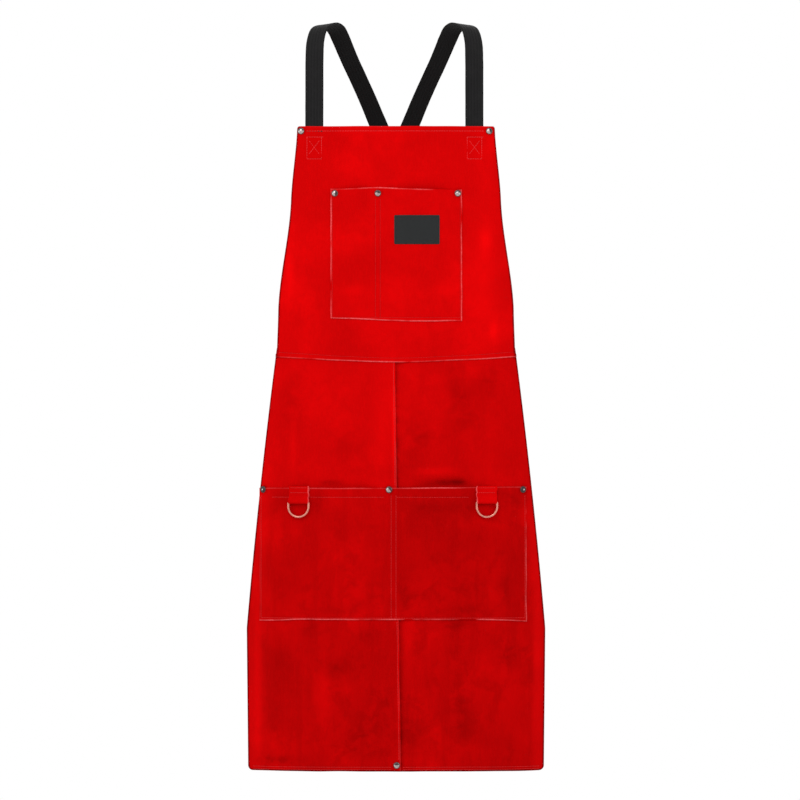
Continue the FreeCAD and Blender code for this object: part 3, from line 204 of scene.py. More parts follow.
def plan(x, offset):
    """The depth and the outward direction, in plan, of a layer of the leather at an x."""
    radius = FRONT_RADIUS + offset
    if abs(x) <= radius * SIDE_SINE:
        angle = math.asin(x / radius)
        return FRONT_CENTRE_Y - radius * math.cos(angle), angle
    radius = SIDE_RADIUS + offset
    angle = math.asin((abs(x) - SIDE_X) / radius)
    return SIDE_Y - radius * math.cos(angle), math.copysign(angle, x)


def on_layer(x, z, offset):
    return Vector((x, plan(x, offset)[0], z))


def heading(angle):
    """Outwards, in plan, at an angle round from the front."""
    return Vector((math.sin(angle), -math.cos(angle), 0))


def beside(angle):
    """To the right of the heading, in plan."""
    return Vector((math.cos(angle), math.sin(angle), 0))


def outward(x, offset=0.0):
    return heading(plan(x, offset)[1])


def round_off(radius, gap):
    """How far a rounded corner or rim lies inside the square one, by the distance from its edge."""
    short = max(radius - gap, 0)
    return radius - math.sqrt(max(radius**2 - short**2, 0))


def bowed(z, start, end, bow):
    """A half width between two (half width, height) corners, on a shallow outward bow."""
    share = (z - start[1]) / (end[1] - start[1])
    return start[0] + (end[0] - start[0]) * share + 4 * bow * share * (1 - share)


def bib_half(z):
    """The bib widens slowly at first, then faster past the arms, then hardly at all to the waist."""
    down = BIB_TOP - z
    for (start, narrow), (end, wide) in zip(BIB_HALVES, BIB_HALVES[1:]):
        if down <= end or end == BIB_HALVES[-1][0]:
            half = narrow + (wide - narrow) * smooth(start, end, down) * EASED
            half += (wide - narrow) * min(max((down - start) / (end - start), 0), 1) * (1 - EASED)
            break
    nub = NUB * smooth(WAIST + 0.013, WAIST + 0.009, z)
    return half + nub - round_off(BIB_CORNER, down)


def skirt_half(z):
    if z > WIDEST:
        return bowed(z, (WAIST_HALF, SKIRT_TOP), (SKIRT_HALF, WIDEST), SKIRT_BOW)
    return bowed(z, (SKIRT_HALF, WIDEST), (HEM_HALF, HEM), 0) - round_off(HEM_CORNER, z - HEM)


def seam_x(z):
    """The left skirt panel's inner edge, on top of the right one."""
    wander = 0.0009 * noise.noise(Vector((0.4, 1.7, z * 14)))
    return SEAM_TOP_X + (SEAM_HEM_X - SEAM_TOP_X) * (SKIRT_TOP - z) / (SKIRT_TOP - HEM) + wander


def waist_edge(x):
    """The bib's lower edge hangs lower in the middle."""
    rise = WAIST_LIFT * abs(x / WAIST_HALF) ** 1.4
    return WAIST - WAIST_DROP + rise + 0.0007 * noise.noise(Vector((x * 22, 2.0, 0.5)))


def stretch(x, start, end, slope):
    """1 between two sewn places, easing to 0 at each."""
    return smooth(start, start + slope, x) * smooth(end, end - slope, x)


def height_in(pocket, z):
    """How far up a pocket a height is, from 0 at its foot to 1 at its mouth."""
    return max((z - pocket[0][2]) / (pocket[1][2] - pocket[0][2]), 0)


def bib_pocket_rise(x, z):
    pen = PEN_BULGE * stretch(x, -0.098, DIVIDER_X - 0.009, 0.026)
    main = BIB_BULGE * stretch(x, DIVIDER_X + 0.009, 0.099, 0.042)
    return (pen + main) * height_in(BIB_POCKET, z) ** 1.3


def waist_pocket_rise(x, z):
    left = stretch(x, -WAIST_FLAT_X - 0.006, MIDDLE_X - 0.016, 0.048)
    right = stretch(x, MIDDLE_X + 0.016, WAIST_FLAT_X + 0.006, 0.048)
    return (WAIST_BULGES[0] * left + WAIST_BULGES[1] * right) * height_in(WAIST_POCKET, z) ** 1.4


def skirt_hollow(x, z):
    """The skirt falls back a little behind the two mouths of the waist pocket."""
    return -sum(deep * bell(x, z, *spot) for *spot, deep in HOLLOWS)


# ---------------------------------------------------------------- rows of stitches

INSET = 0.003
ROW_GAP = 0.004
# how far below the waist pocket's mouth its row lies, and where the row breaks off
POCKET_ROW = 0.0155
POCKET_ROW_PARTS = ((-0.205, -0.020), (0.0, 0.120))
TOP_ROW = BIB_TOP - 0.008
BOX_TOP, BOX_HIGH, BOX_HALF = BIB_TOP - 0.018, 0.036, 0.012
CROSS_HALF = 0.0085
CAP = 0.006
# how the thread pulls the hide in: how deep, how wide, and how far from a row it is felt
GROOVE_DEPTH, GROOVE_HALF, GROOVE_REACH = 0.0006, 0.0013, 0.004


def across(z, start, end):
    return (start, z), (end, z)


def down(x, top, bottom):
    return (x, top), (x, bottom)


def along_waist(half, above):
    """A row that follows the bib's lower edge."""
    places = [half * (share / 8 - 1) for share in range(17)]
    return tuple((x, waist_edge(x) + above) for x in places)


def seam_row(top, bottom, inset=INSET):
    """A row that follows the left skirt panel's inner edge."""
    levels = [top + (bottom - top) * share / 12 for share in range(13)]
    return tuple((seam_x(z) - inset, z) for z in levels)


def box_and_cross(x):
    left, right, low = x - BOX_HALF, x + BOX_HALF, BOX_TOP - BOX_HIGH
    cross_top, cross_low = BOX_TOP - 0.006, low + 0.008
    return (
        across(BOX_TOP, left - 0.001, right + 0.003), across(low, left, right),
        down(left, BOX_TOP, low), down(right, BOX_TOP, low),
        ((x - CROSS_HALF, cross_top), (x + CROSS_HALF, cross_low)),
        ((x + CROSS_HALF, cross_top), (x - CROSS_HALF, cross_low)),
    )


below_pocket_rivets = POCKET_RIVET_Z - CAP - INSET
below_waist_rivets = WAIST_RIVET_Z - CAP - INSET
BIB_POCKET_FOOT = BIB_POCKET[0][2] + INSET
WAIST_POCKET_FOOT = WAIST_POCKET[0][2] + INSET


def columns_of(pocket, divider):
    """Where the rows down a pocket lie: at its sides and on both sides of its divider."""
    return pocket[0][0] + INSET, divider - ROW_GAP, divider + ROW_GAP, pocket[1][0] - INSET


BIB_COLUMNS = columns_of(BIB_POCKET, DIVIDER_X)
WAIST_COLUMNS = columns_of(WAIST_POCKET, MIDDLE_X)

ROWS = {
    "bib_top_stitching": [across(TOP_ROW, CORNER_RIVETS_X[0] + CAP + INSET, CORNER_RIVETS_X[1] - CAP - INSET)],
    "waist_seam_stitching": [along_waist(WAIST_HALF - INSET, INSET + ROW_GAP)],
    "strap_stitching": [row for name, _ in SIDES for row in box_and_cross(STRAP_X[name])],
    "hem_stitching": [
        row
        for step in (0, ROW_GAP)
        for row in (
            across(HEM + INSET + step, -HEM_HALF + HEM_CORNER, HEM_RIVET_X - CAP - INSET),
            across(HEM + INSET + step, SEAM_HEM_X + INSET, HEM_HALF - HEM_CORNER),
        )
    ],
    "centre_seam_stitching": [
        seam_row(WAIST - INSET, WAIST_POCKET[1][2] + INSET),
        seam_row(WAIST_POCKET[0][2] - INSET, HEM_RIVET_Z + CAP + INSET),
    ],
    "bib_pocket_stitching": [down(x, below_pocket_rivets, BIB_POCKET_FOOT) for x in BIB_COLUMNS]
    + [across(BIB_POCKET_FOOT, BIB_POCKET[0][0] + INSET, BIB_POCKET[1][0] - INSET)],
    "waist_pocket_stitching": [down(x, below_waist_rivets, WAIST_POCKET_FOOT) for x in WAIST_COLUMNS]
    + [across(WAIST_POCKET_FOOT, WAIST_POCKET[0][0] + INSET, WAIST_POCKET[1][0] - INSET)]
    + [across(WAIST_POCKET[1][2] - POCKET_ROW, *part) for part in POCKET_ROW_PARTS],
}
SEWN_ON = {
    "bib_top_stitching": "bib",
    "waist_seam_stitching": "bib",
    "strap_stitching": "bib",
    "hem_stitching": "skirt",
    "centre_seam_stitching": "skirt",
    "bib_pocket_stitching": "bib_pocket",
    "waist_pocket_stitching": "waist_pocket",
}


def groove(x, z, layer):
    """How far the thread pulls the hide in."""
    pull = 0.0
    for name, rows in ROWS.items():
        if SEWN_ON[name] != layer:
            continue
        for (ax, az), (bx, bz) in ((a, b) for row in rows for a, b in zip(row, row[1:])):
            beside_x = min(ax, bx) - GROOVE_REACH < x < max(ax, bx) + GROOVE_REACH
            if not (beside_x and min(az, bz) - GROOVE_REACH < z < max(az, bz) + GROOVE_REACH):
                continue
            dx, dz = bx - ax, bz - az
            share = min(max(((x - ax) * dx + (z - az) * dz) / (dx * dx + dz * dz), 0), 1)
            gap = math.hypot(x - ax - dx * share, z - az - dz * share)
            pull = max(pull, GROOVE_DEPTH * math.exp(-((gap / GROOVE_HALF) ** 2)))
    return pull


RISES = {"bib_pocket": bib_pocket_rise, "waist_pocket": waist_pocket_rise, "skirt": skirt_hollow}


def stand_off(layer, x, z):
    """How far a layer's inner face lies from the leather curve."""
    rise = LAYER[layer] + swell(x, z)
    return rise + RISES[layer](x, z) if layer in RISES else rise


def on_face(layer, x, z):
    """A place on the outer face of a layer, where its stitches lie."""
    thickness = bpy.context.scene.apron_sizes.hide_thickness
    return on_layer(x, z, stand_off(layer, x, z) + thickness - groove(x, z, layer))


# ---------------------------------------------------------------- meshes

# where the lines of a mesh lie beside an edge, and beside a row of stitches
EDGE_LINES = (0, 0.0003, 0.0009, 0.0015, 0.0022, 0.0032, 0.005, 0.0075)
ROW_LINES = (-0.002, -0.0009, 0, 0.0009, 0.002)
LEAST_STEP = 0.0006
# between which distances from an edge its pale cut and the painted shade of its turned rim fade out
RAW_BAND = (0.0021, 0.0011)
RIM_SHADE_BAND = (0.0031, 0.0017)
# as far as the marks of an edge can reach, and as near to it as stitches can pull the hide
MARKED_EDGE, FIRM_EDGE = 0.0035, 0.0012
# how strongly the worn patches and painted shadows show on the inner face, and how much painted shade a rim
# takes besides
BACK_SHADE_AND_WEAR, RIM_SHADE_DEPTH = 0.25, 0.3
# how many half widths from its middle a patch has faded out, and how far the painted shadow reaches round a
# cap
FADED, CAP_SHADOW_REACH = 2.6, 0.0068


def spaced(length, step, extra=()):
    """Shares of a length: close together at both ends and beside extra places, even between."""
    places = set(EDGE_LINES) | {length - line for line in EDGE_LINES}
    count = max(int(length / step), 1)
    even = [length * number / count for number in range(1, count)]
    near = [place + shift for place in extra for shift in ROW_LINES]
    for place in near + even:
        if 0 < place < length and all(abs(place - other) > LEAST_STEP for other in places):
            places.add(place)
    return [min(place / length, 1) for place in sorted(places)]


def mesh_object(name, points, faces, material):
    """A new object at the origin, with its mesh and its finish."""
    mesh = bpy.data.meshes.new(name)
    mesh.from_pydata(points, [], faces)
    mesh.materials.append(material)
    piece = bpy.data.objects.new(name, mesh)
    bpy.context.scene.collection.objects.link(piece)
    return piece


def face_outwards(mesh, weld=0.0):
    """Turns the faces outwards. Points nearer each other than weld are made one first."""
    shape = bmesh.new()
    shape.from_mesh(mesh)
    if weld:
        bmesh.ops.remove_doubles(shape, verts=shape.verts, dist=weld)
    bmesh.ops.recalc_face_normals(shape, faces=shape.faces)
    shape.to_mesh(mesh)
    shape.free()


def closed_sheet(name, points, count, material):
    """A sheet from two grids of points, the outer face's and then the inner one's, count to a row."""
    faces = []
    rows = len(points) // (2 * count)
    for face in (0, 1):
        for row in range(rows - 1):
            for column in range(count - 1):
                a = (face * rows + row) * count + column
                corners = (a, a + 1, a + count + 1, a + count)
                faces.append(corners[::-1] if face else corners)
    piece = mesh_object(name, points, faces, material)
    face_outwards(piece.data, 1e-6)
    for face in piece.data.polygons:
        face.use_smooth = True
    return piece


def hand_in(piece, node):
    """Says which body a piece rides on and which node it replaces."""
    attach(piece, "apron")
    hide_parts(node)


def patches(table, place):
    """The soft spots of a table, added up at a place."""
    total = 0.0
    for middle_x, middle_z, wide, high, depth in table:
        over, up = (place.x - middle_x) / wide, (place.z - middle_z) / high
        if abs(over) < FADED and abs(up) < FADED:
            total += depth * math.exp(-(over**2) - up**2)
    return total


def ring(place, x, z, wide, high):
    """1 round a place, with a firm outer edge."""
    return math.exp(-(((place.x - x) / wide) ** 2 + ((place.z - z) / high) ** 2) ** 2)


def painted_shade_and_wear(place):
    """How much darker the nap is at a place, from 0 to 1: painted shadow in rings round the caps, darker spots
    at the ends of the waist seam, and worn patches and painted shadows from the table of smudges.
    """
    dark = 0.0
    # painted shadow round each rivet cap
    for _, _, places in RIVETS:
        for x, z, _ in places:
            dark += 0.9 * ring(place, x + 0.001, z, CAP_SHADOW_REACH, CAP_SHADOW_REACH)
    # darker spots at the ends of the waist seam
    for x in NUB_XS:
        dark += ring(place, x, WAIST + 0.006, 0.0030, 0.004)
    return min(dark + patches(SMUDGES_AND_SHADOWS, place), 1)


def tone_and_painted_shade(layer, x, z):
    """How much darker a layer is painted: set by panel, darker right of the seam, darker to the hem as painted
    shade, lighter at the sides as painted light.
    """
    if layer in ("bib", "bib_pocket"):
        return 0.04 * smooth(0.04, 0.0, abs(abs(x) - 0.075)) * smooth(BIB_TOP - 0.1, WAIST, z)
    right = smooth(-0.004, 0.004, x - seam_x(z))
    side = smooth(0.03, 0.006, skirt_half(z) - abs(x))
    if layer == "waist_pocket":
        return 0.13 + 0.06 * right + 0.05 * smooth(-0.80, -0.98, z) - 0.08 * side
    low = smooth(-0.72, -0.90, z)
    return 0.02 + 0.045 * right * (1 - low) + 0.15 * low - 0.10 * side * low


def pale_run(name, side, run):
    """How much of a raw edge shows at a place along it."""
    blotch = 0.62 + 1.2 * noise.noise(Vector((run * 17, side * 7.3, len(name))))
    blotch += 0.6 * noise.noise(Vector((run * 75, side * 3.1, 2.0)))
    for piece, edge, place, half, more in PALE_RUNS:
        if piece == name and edge == side:
            blotch += more * math.exp(-(((run - place) / half) ** 4))
    return max(blotch, 0)


def paint(piece, name, values):
    attribute = piece.data.attributes.new(name, "FLOAT", "POINT")
    attribute.data.foreach_set("value", values)


def hide_sheet(name, layer, ends, sides, raw, rows=(), columns=(), dip=None, rim=(0,) * 4, finer=1):
    """A panel of hide between two heights, ends(x), and two edges, sides(z), with a rounded, raw rim.
    raw gives how pale the left, right, bottom and top edges are, rim how much painted shade darkens them where
    they turn away."""
    sizes = bpy.context.scene.apron_sizes
    thickness, step = sizes.hide_thickness, sizes.mesh_step * finer
    bottom, top = ends
    left, right = sides((bottom(0) + top(0)) / 2)
    wide, high = right - left, top(0) - bottom(0)
    shares_x = spaced(wide, step, [x - left for x in columns])
    shares_z = spaced(high, step, [z - bottom(0) for z in rows])
    points, marks = [], {}
    for face, share_z, share_x in itertools.product((1, 0), shares_z, shares_x):
        x = left + wide * share_x
        z = bottom(x) + (top(x) - bottom(x)) * share_z
        start, end = sides(z)
        x = start + (end - start) * share_x
        gaps = (wide * share_x, wide * (1 - share_x), high * share_z, high * (1 - share_z))
        curl = round_off(thickness / 2, min(gaps))
        offset = stand_off(layer, x, z) + (dip(x, z) if dip else 0)
        if face:
            offset += thickness - curl - (groove(x, z, layer) if min(gaps) > FIRM_EDGE else 0)
        else:
            offset += curl
        points.append(on_layer(x, z, offset))
        pale = rim_shade = 0.0
        for side, gap in enumerate(gaps):
            if gap < MARKED_EDGE:
                shown = pale_run(name, side, z if side < 2 else x)
                pale = max(pale, raw[side] * shown * smooth(*RAW_BAND, gap))
                # the rim's dark band is painted shade where the edge turns away
                rim_shade = max(rim_shade, rim[side] * smooth(*RIM_SHADE_BAND, gap))
        marks[tuple(round(value, 6) for value in points[-1])] = (min(pale, 1), rim_shade, face)
    piece = closed_sheet(name, points, len(shares_x), finish_of("red_suede"))
    painted = {key: [] for key in ("raw", "front", "worn", "shade")}
    for vertex in piece.data.vertices:
        place = vertex.co
        pale, rim_shade, front = marks.get(tuple(round(value, 6) for value in place), (0, 0, 0))
        # painted highlights on the outer face
        highlight = patches(PAINTED_HIGHLIGHTS, place) if front and layer != "waist_pocket" else 0
        painted["raw"].append(pale)
        painted["front"].append(front)
        # worn patches, painted shadows and the painted shade of the rim darken the nap
        painted["worn"].append(painted_shade_and_wear(place) * (1 if front else BACK_SHADE_AND_WEAR) + rim_shade)
        # shade: panel tone and painted shade, less the painted highlights, with the rim's painted shade
        painted["shade"].append(tone_and_painted_shade(layer, place.x, place.z) - highlight * (1 - rim_shade) + RIM_SHADE_DEPTH * rim_shade)
    for key, values in painted.items():
        paint(piece, key, values)
    return piece


def smooth_route(points, steps):
    """Places on a curve that passes through points, as vectors of any size."""
    route = []
    last = len(points) - 1
    for number in range(last):
        before, a = points[max(number - 1, 0)], points[number]
        b, after = points[number + 1], points[min(number + 2, last)]
        for step in range(steps):
            t = step / steps
            route.append(
                0.5 * ((2 * a) + (b - before) * t + (2 * before - 5 * a + 4 * b - after) * t * t
                       + (3 * a - before - 3 * b + after) * t**3)
            )
    route.append(points[-1])
    return route


# where the lines along a plain strip lie across it
PLAIN_SHARES = (0, 0.02, 0.04, 0.07, 0.12, 0.25, 0.5, 0.75, 0.88, 0.93, 0.96, 0.98, 1)
# how quickly the sides of a strip wander, and how much of its thickness is left at its ends
RAGS, END_TAPER = 95, 0.8


def strip_section(width, thickness, ribs, rib_depth):
    """The outline of a flat strip: ribbed faces and rounded edges, as (across, out) places."""
    half, deep = width / 2, thickness / 2
    reach = half - deep * 0.9
    face = []
    count = ribs * 4
    for share in [number / count for number in range(count + 1)] if ribs else PLAIN_SHARES:
        rib = rib_depth * (0.5 - 0.5 * math.cos(2 * math.pi * share * ribs)) if ribs else 0
        face.append((-reach + 2 * reach * share, deep - rib_depth + rib))
    corner_x, corner_out = reach + 0.75 * deep, deep * 0.72
    edge = [(corner_x, corner_out), (half, 0), (corner_x, -corner_out)]
    front = face + edge
    return front + [(-a, -b) for a, b in front]


def strip(name, route, width, thickness, ribs, rib_depth, material, wander):
    """A flat strip along a route of (place, direction across it), closed at both ends."""
    section = strip_section(width, thickness, ribs, rib_depth)
    points, faces, travelled, runs = [], [], 0.0, []
    around = len(section)
    for number, (place, level) in enumerate(route):
        before, after = route[max(number - 1, 0)][0], route[min(number + 1, len(route) - 1)][0]
        along = (after - before).normalized()
        level = (level - along * level.dot(along)).normalized()
        out = along.cross(level)
        if number:
            travelled += (place - route[number - 1][0]).length
        taper = END_TAPER if number in (0, len(route) - 1) else 1
        for a, b in section:
            drift = wander * noise.noise(Vector((travelled * RAGS, math.copysign(2, a), len(name))))
            wide = a + math.copysign(drift, a) * abs(a) / width * 2
            points.append(place + level * wide + out * b * taper)
            runs.append((a + width / 2, travelled))
    for number in range(len(route) - 1):
        for corner in range(around):
            a, b = number * around + corner, number * around + (corner + 1) % around
            faces.append((a, b, b + around, a + around))
    faces.append(tuple(range(around))[::-1])
    last = (len(route) - 1) * around
    faces.append(tuple(range(last, last + around)))
    piece = mesh_object(name, points, faces, material)
    mesh = piece.data
    layer = mesh.uv_layers.new(name="length")
    for face in mesh.polygons:
        face.use_smooth = True
        for loop in face.loop_indices:
            layer.data[loop].uv = runs[mesh.loops[loop].vertex_index]
    face_outwards(mesh)
    return piece


def deselect():
    if bpy.context.object and bpy.context.object.mode != "OBJECT":
        bpy.ops.object.mode_set(mode="OBJECT")
    bpy.ops.object.select_all(action="DESELECT")


def turned(name, sides, profile):
    """A round form built up from a disc: each step of the profile is a radius and a height."""
    deselect()
    radius, height = profile[0]
    bpy.ops.mesh.primitive_circle_add(
        vertices=sides, radius=radius, fill_type="TRIFAN", location=(0, 0, height),
    )
    piece = bpy.context.object
    piece.name = name
    bpy.ops.object.mode_set(mode="EDIT")
    bpy.ops.mesh.select_mode(type="VERT")
    bpy.ops.mesh.select_all(action="DESELECT")
    bpy.ops.mesh.select_non_manifold()
    for next_radius, next_height in profile[1:]:
        bpy.ops.mesh.extrude_region_move(TRANSFORM_OT_translate={"value": (0, 0, next_height - height)})
        share = next_radius / radius
        bpy.ops.transform.resize(value=(share, share, 1), center_override=(0, 0, next_height))
        radius, height = next_radius, next_height
    bpy.ops.mesh.edge_face_add()
    bpy.ops.mesh.select_all(action="SELECT")
    bpy.ops.mesh.normals_make_consistent(inside=False)
    bpy.ops.object.mode_set(mode="OBJECT")
    bpy.ops.object.transform_apply(location=True, rotation=True, scale=True)
    bpy.ops.object.shade_smooth_by_angle(angle=math.radians(50))
    return piece


def copies(name, model, places, material):
    """One mesh that holds a copy of the model at each place, a matrix."""
    points, faces = [], []
    corners = [vertex.co.copy() for vertex in model.data.vertices]
    sides = [tuple(face.vertices) for face in model.data.polygons]
    rounded = [face.use_smooth for face in model.data.polygons]
    for place in places:
        first = len(points)
        points += [place @ corner for corner in corners]
        faces += [tuple(first + corner for corner in side) for side in sides]
    piece = mesh_object(name, points, faces, material)
    for number, face in enumerate(piece.data.polygons):
        face.use_smooth = rounded[number % len(rounded)]
    return piece


def drop_model(model):
    mesh = model.data
    bpy.data.objects.remove(model)
    bpy.data.meshes.remove(mesh)


def facing(place, forward, out):
    """A matrix that lays X along forward and Z along out."""
    out = (out - forward * out.dot(forward)).normalized()
    side = out.cross(forward)
    turn = Matrix((forward, side, out)).transposed().to_4x4()
    return Matrix.Translation(place) @ turn


# ---------------------------------------------------------------- finishes


class Finish:
    """A material's nodes, added one at a time."""

    def __init__(self, name, **sockets):
        self.material = bpy.data.materials.new(name)
        self.material.use_nodes = True
        self.tree = self.material.node_tree
        self.shader = self.tree.nodes["Principled BSDF"]
        for socket, value in sockets.items():
            self.shader.inputs[socket.replace("_", " ")].default_value = value

    def connect(self, socket, value):
        if isinstance(value, bpy.types.NodeSocket):
            self.tree.links.new(value, socket)
        else:
            socket.default_value = value

    def add(self, kind, settings=None, **inputs):
        """A node with its settings and inputs, which are named, or i and a number."""
        made = self.tree.nodes.new(f"ShaderNode{kind}")
        for key, value in (settings or {}).items():
            setattr(made, key, value)
        for key, value in inputs.items():
            self.connect(made.inputs[int(key[1:]) if key[1:].isdigit() else key], value)
        return made.outputs

    def place(self, scale=(1, 1, 1), source="Object"):
        return self.add("Mapping", Vector=self.add("TexCoord")[source], Scale=scale)["Vector"]

    def painted(self, name):
        return self.add("Attribute", {"attribute_name": name})["Fac"]

    def grain(self, vector, scale, detail=4.0, roughness=0.55, distortion=0.0):
        return self.add(
            "TexNoise", Vector=vector, Scale=scale, Detail=detail, Roughness=roughness, Distortion=distortion
        )["Fac"]

    def wave(self, vector, direction, scale, distortion, detail=2.0):
        return self.add(
            "TexWave", {"wave_type": "BANDS", "bands_direction": direction},
            Vector=vector, Scale=scale, Distortion=distortion, Detail=detail,
        )["Fac"]

    def sums(self, operation, first, second):
        return self.add("Math", {"operation": operation}, i0=first, i1=second)["Value"]

    def ramp(self, value, low, high, start=0.0, end=1.0):
        return self.add(
            "MapRange", {"interpolation_type": "SMOOTHSTEP"},
            **{"Value": value, "From Min": low, "From Max": high, "To Min": start, "To Max": end},
        )["Result"]

    def mix(self, share, first, second):
        return self.add("Mix", {"data_type": "RGBA"}, i0=share, i6=first, i7=second)[2]

    def bump(self, height, strength, distance, **before):
        return self.add("Bump", Height=height, Strength=strength, Distance=distance, **before)["Normal"]

    def bumps(self, *steps):
        """Bumps one on top of the other: each is its height, strength and distance."""
        normal = {}
        for step in steps:
            normal = {"Normal": self.bump(*step, **normal)}
        return normal["Normal"]

    def finish(self, colour, roughness=None, normal=None):
        for socket, value in (("Base Color", colour), ("Roughness", roughness), ("Normal", normal)):
            if value is not None:
                self.connect(self.shader.inputs[socket], value)
        return self.material


def tone(colour, share):
    return (colour[0] * share, colour[1] * share, colour[2] * share, 1)


def suede():
    """Split hide: mottled red nap, brushed streaks, worn patches, painted shade, shadows and highlights, and
    pale raw edges.
    """
    colours = bpy.context.scene.apron_colours
    red, pale = colours.suede, colours.raw_edge
    made = Finish("red_suede", **{
        "Roughness": 0.95, "Specular_IOR_Level": 0.012, "Sheen_Weight": 0.10, "Sheen_Roughness": 0.45,
        "Sheen_Tint": (0.8, 0.0, 0.0, 1),
    })
    place = made.place()
    clouds = made.grain(place, 9.0, 3.0, 0.5, 0.4)
    mottle = made.grain(place, 46.0, 4.0, 0.6, 0.6)
    brushed = made.grain(made.place((420, 420, 90)), 1.0, 3.0, 0.6)
    nap = made.grain(place, 1500.0, 3.0, 0.7)
    worn, raw, shade = (made.painted(name) for name in ("worn", "raw", "shade"))
    colour = made.mix(made.ramp(clouds, 0.30, 0.70), tone(red, 0.82), tone(red, 1.12))
    colour = made.mix(made.ramp(mottle, 0.35, 0.68, 0, 0.55), colour, tone(red, 0.88))
    # the darker the panel tone and painted shade, the more it is mottled by blots, and by vertical bands that
    # are painted shade of soft folds
    fold_shade_bands = made.ramp(made.grain(made.place((34, 34, 5)), 1.0, 3.0, 0.55, 0.3), 0.45, 0.66)
    blots = made.ramp(made.grain(place, 26.0, 5.0, 0.62, 0.5), 0.46, 0.64)
    deep = made.sums("MULTIPLY", made.ramp(shade, 0.04, 0.16, 0.12, 0.55), made.sums("MAXIMUM", fold_shade_bands, blots))
    colour = made.mix(deep, colour, tone(red, 0.70))
    colour = made.mix(made.ramp(brushed, 0.40, 0.75, 0, 0.22), colour, tone(red, 1.28))
    colour = made.mix(made.ramp(nap, 0.35, 0.70, 0, 0.20), colour, tone(red, 0.72))
    # worn patches and painted shadows darken the nap
    patch = made.sums("MULTIPLY", worn, made.ramp(mottle, 0.30, 0.62, 0.35, 1.0))
    colour = made.mix(patch, colour, tone(red, 0.42))
    # a shade above 0 darkens, as panel tone and painted shade; one below 0 lightens, as painted highlight
    colour = made.mix(shade, colour, (0, 0, 0, 1))
    colour = made.mix(made.sums("MULTIPLY", shade, -1.0), colour, tone(red, 1.5))
    fray = made.ramp(made.grain(place, 420.0, 3.0, 0.7), 0.35, 0.62, 0.45, 1.0)
    colour = made.mix(made.sums("MULTIPLY", raw, fray), colour, tone(pale, 1))
    normal = made.bumps((mottle, 0.25, 0.0012), (brushed, 0.35, 0.0004), (nap, 0.6, 0.0004))
    return made.finish(colour, made.ramp(nap, 0.30, 0.70, 0.86, 1.0), normal)


def webbing():
    """Woven strap: ribs along the strap, weft across it, darker selvedges, and painted shade on the inner
    face.
    """
    black = bpy.context.scene.apron_colours.webbing
    made = Finish("black_webbing", **{
        "Roughness": 0.8, "Specular_IOR_Level": 0.12, "Sheen_Weight": 0.03, "Sheen_Roughness": 0.5,
    })
    place = made.place(source="UV")
    parts = made.add("SeparateXYZ", Vector=place)
    ribs = made.wave(place, "X", 62.8, 0.3, 1.0)
    weft = made.wave(place, "Y", 260.0, 0.6, 1.0)
    fuzz = made.grain(made.place(), 900.0, 3.0, 0.6)
    # random lighter worn patches of the weave
    worn = made.grain(made.place(), 60.0, 3.0, 0.6)
    middle = made.sums("ABSOLUTE", made.sums("SUBTRACT", parts["X"], 0.015), 0.0)
    selvedge = made.ramp(middle, 0.0122, 0.0130)
    colour = made.mix(made.ramp(ribs, 0.15, 0.85), tone(black, 0.72), tone(black, 1.15))
    colour = made.mix(made.ramp(weft, 0.2, 0.8, 0, 0.28), colour, tone(black, 0.55))
    colour = made.mix(made.ramp(worn, 0.45, 0.75, 0, 0.35), colour, tone(black, 1.7))
    colour = made.mix(made.ramp(fuzz, 0.5, 0.75, 0, 0.25), colour, tone(black, 2.0))
    colour = made.mix(made.sums("MULTIPLY", selvedge, 0.6), colour, tone(black, 0.42))
    # painted shade on the face towards the wearer
    colour = made.mix(made.sums("MULTIPLY", made.painted("inner"), 0.92), colour, tone(black, 0.16))
    normal = made.bumps((ribs, 0.5, 0.0005), (weft, 0.35, 0.0003), (fuzz, 0.25, 0.0002))
    return made.finish(colour, made.ramp(fuzz, 0.3, 0.7, 0.68, 0.92), normal)


def label_cloth():
    """A dark, closely woven patch."""
    dark = bpy.context.scene.apron_colours.label
    made = Finish("label_cloth", **{"Roughness": 0.75, "Specular_IOR_Level": 0.2, "Sheen_Weight": 0.05})
    warp, weft = (made.wave(made.place(), direction, 520.0, 0.4) for direction in "XZ")
    weave = made.sums("MULTIPLY", warp, weft)
    cloud = made.grain(made.place(), 90.0, 3.0)
    colour = made.mix(made.ramp(weave, 0.1, 0.9), tone(dark, 0.75), tone(dark, 1.3))
    colour = made.mix(made.ramp(cloud, 0.4, 0.7, 0, 0.4), colour, tone(dark, 0.8))
    return made.finish(colour, made.ramp(weave, 0.1, 0.9, 0.85, 0.65), made.bump(weave, 0.5, 0.0003))


def plated(name, colour, roughness, wear):
    """Plated metal: a soft, uneven polish with fine scratches and dulled spots."""
    made = Finish(name, Metallic=1.0)
    place = made.place()
    cloud = made.grain(place, 260.0, 4.0, 0.6)
    scratch = made.grain(made.place((1600, 1600, 180)), 1.0, 2.0, 0.5, 0.3)
    spots = made.grain(place, 700.0, 3.0, 0.6)
    shade = made.mix(made.ramp(cloud, 0.35, 0.7), tone(colour, 0.85), tone(colour, 1.08))
    shade = made.mix(made.ramp(spots, 0.58, 0.72, 0, wear), shade, tone(colour, 0.42))
    gloss = made.ramp(cloud, 0.3, 0.7, roughness * 0.75, roughness * 1.35)
    return made.finish(shade, gloss, made.bump(scratch, 0.15, 0.00005))


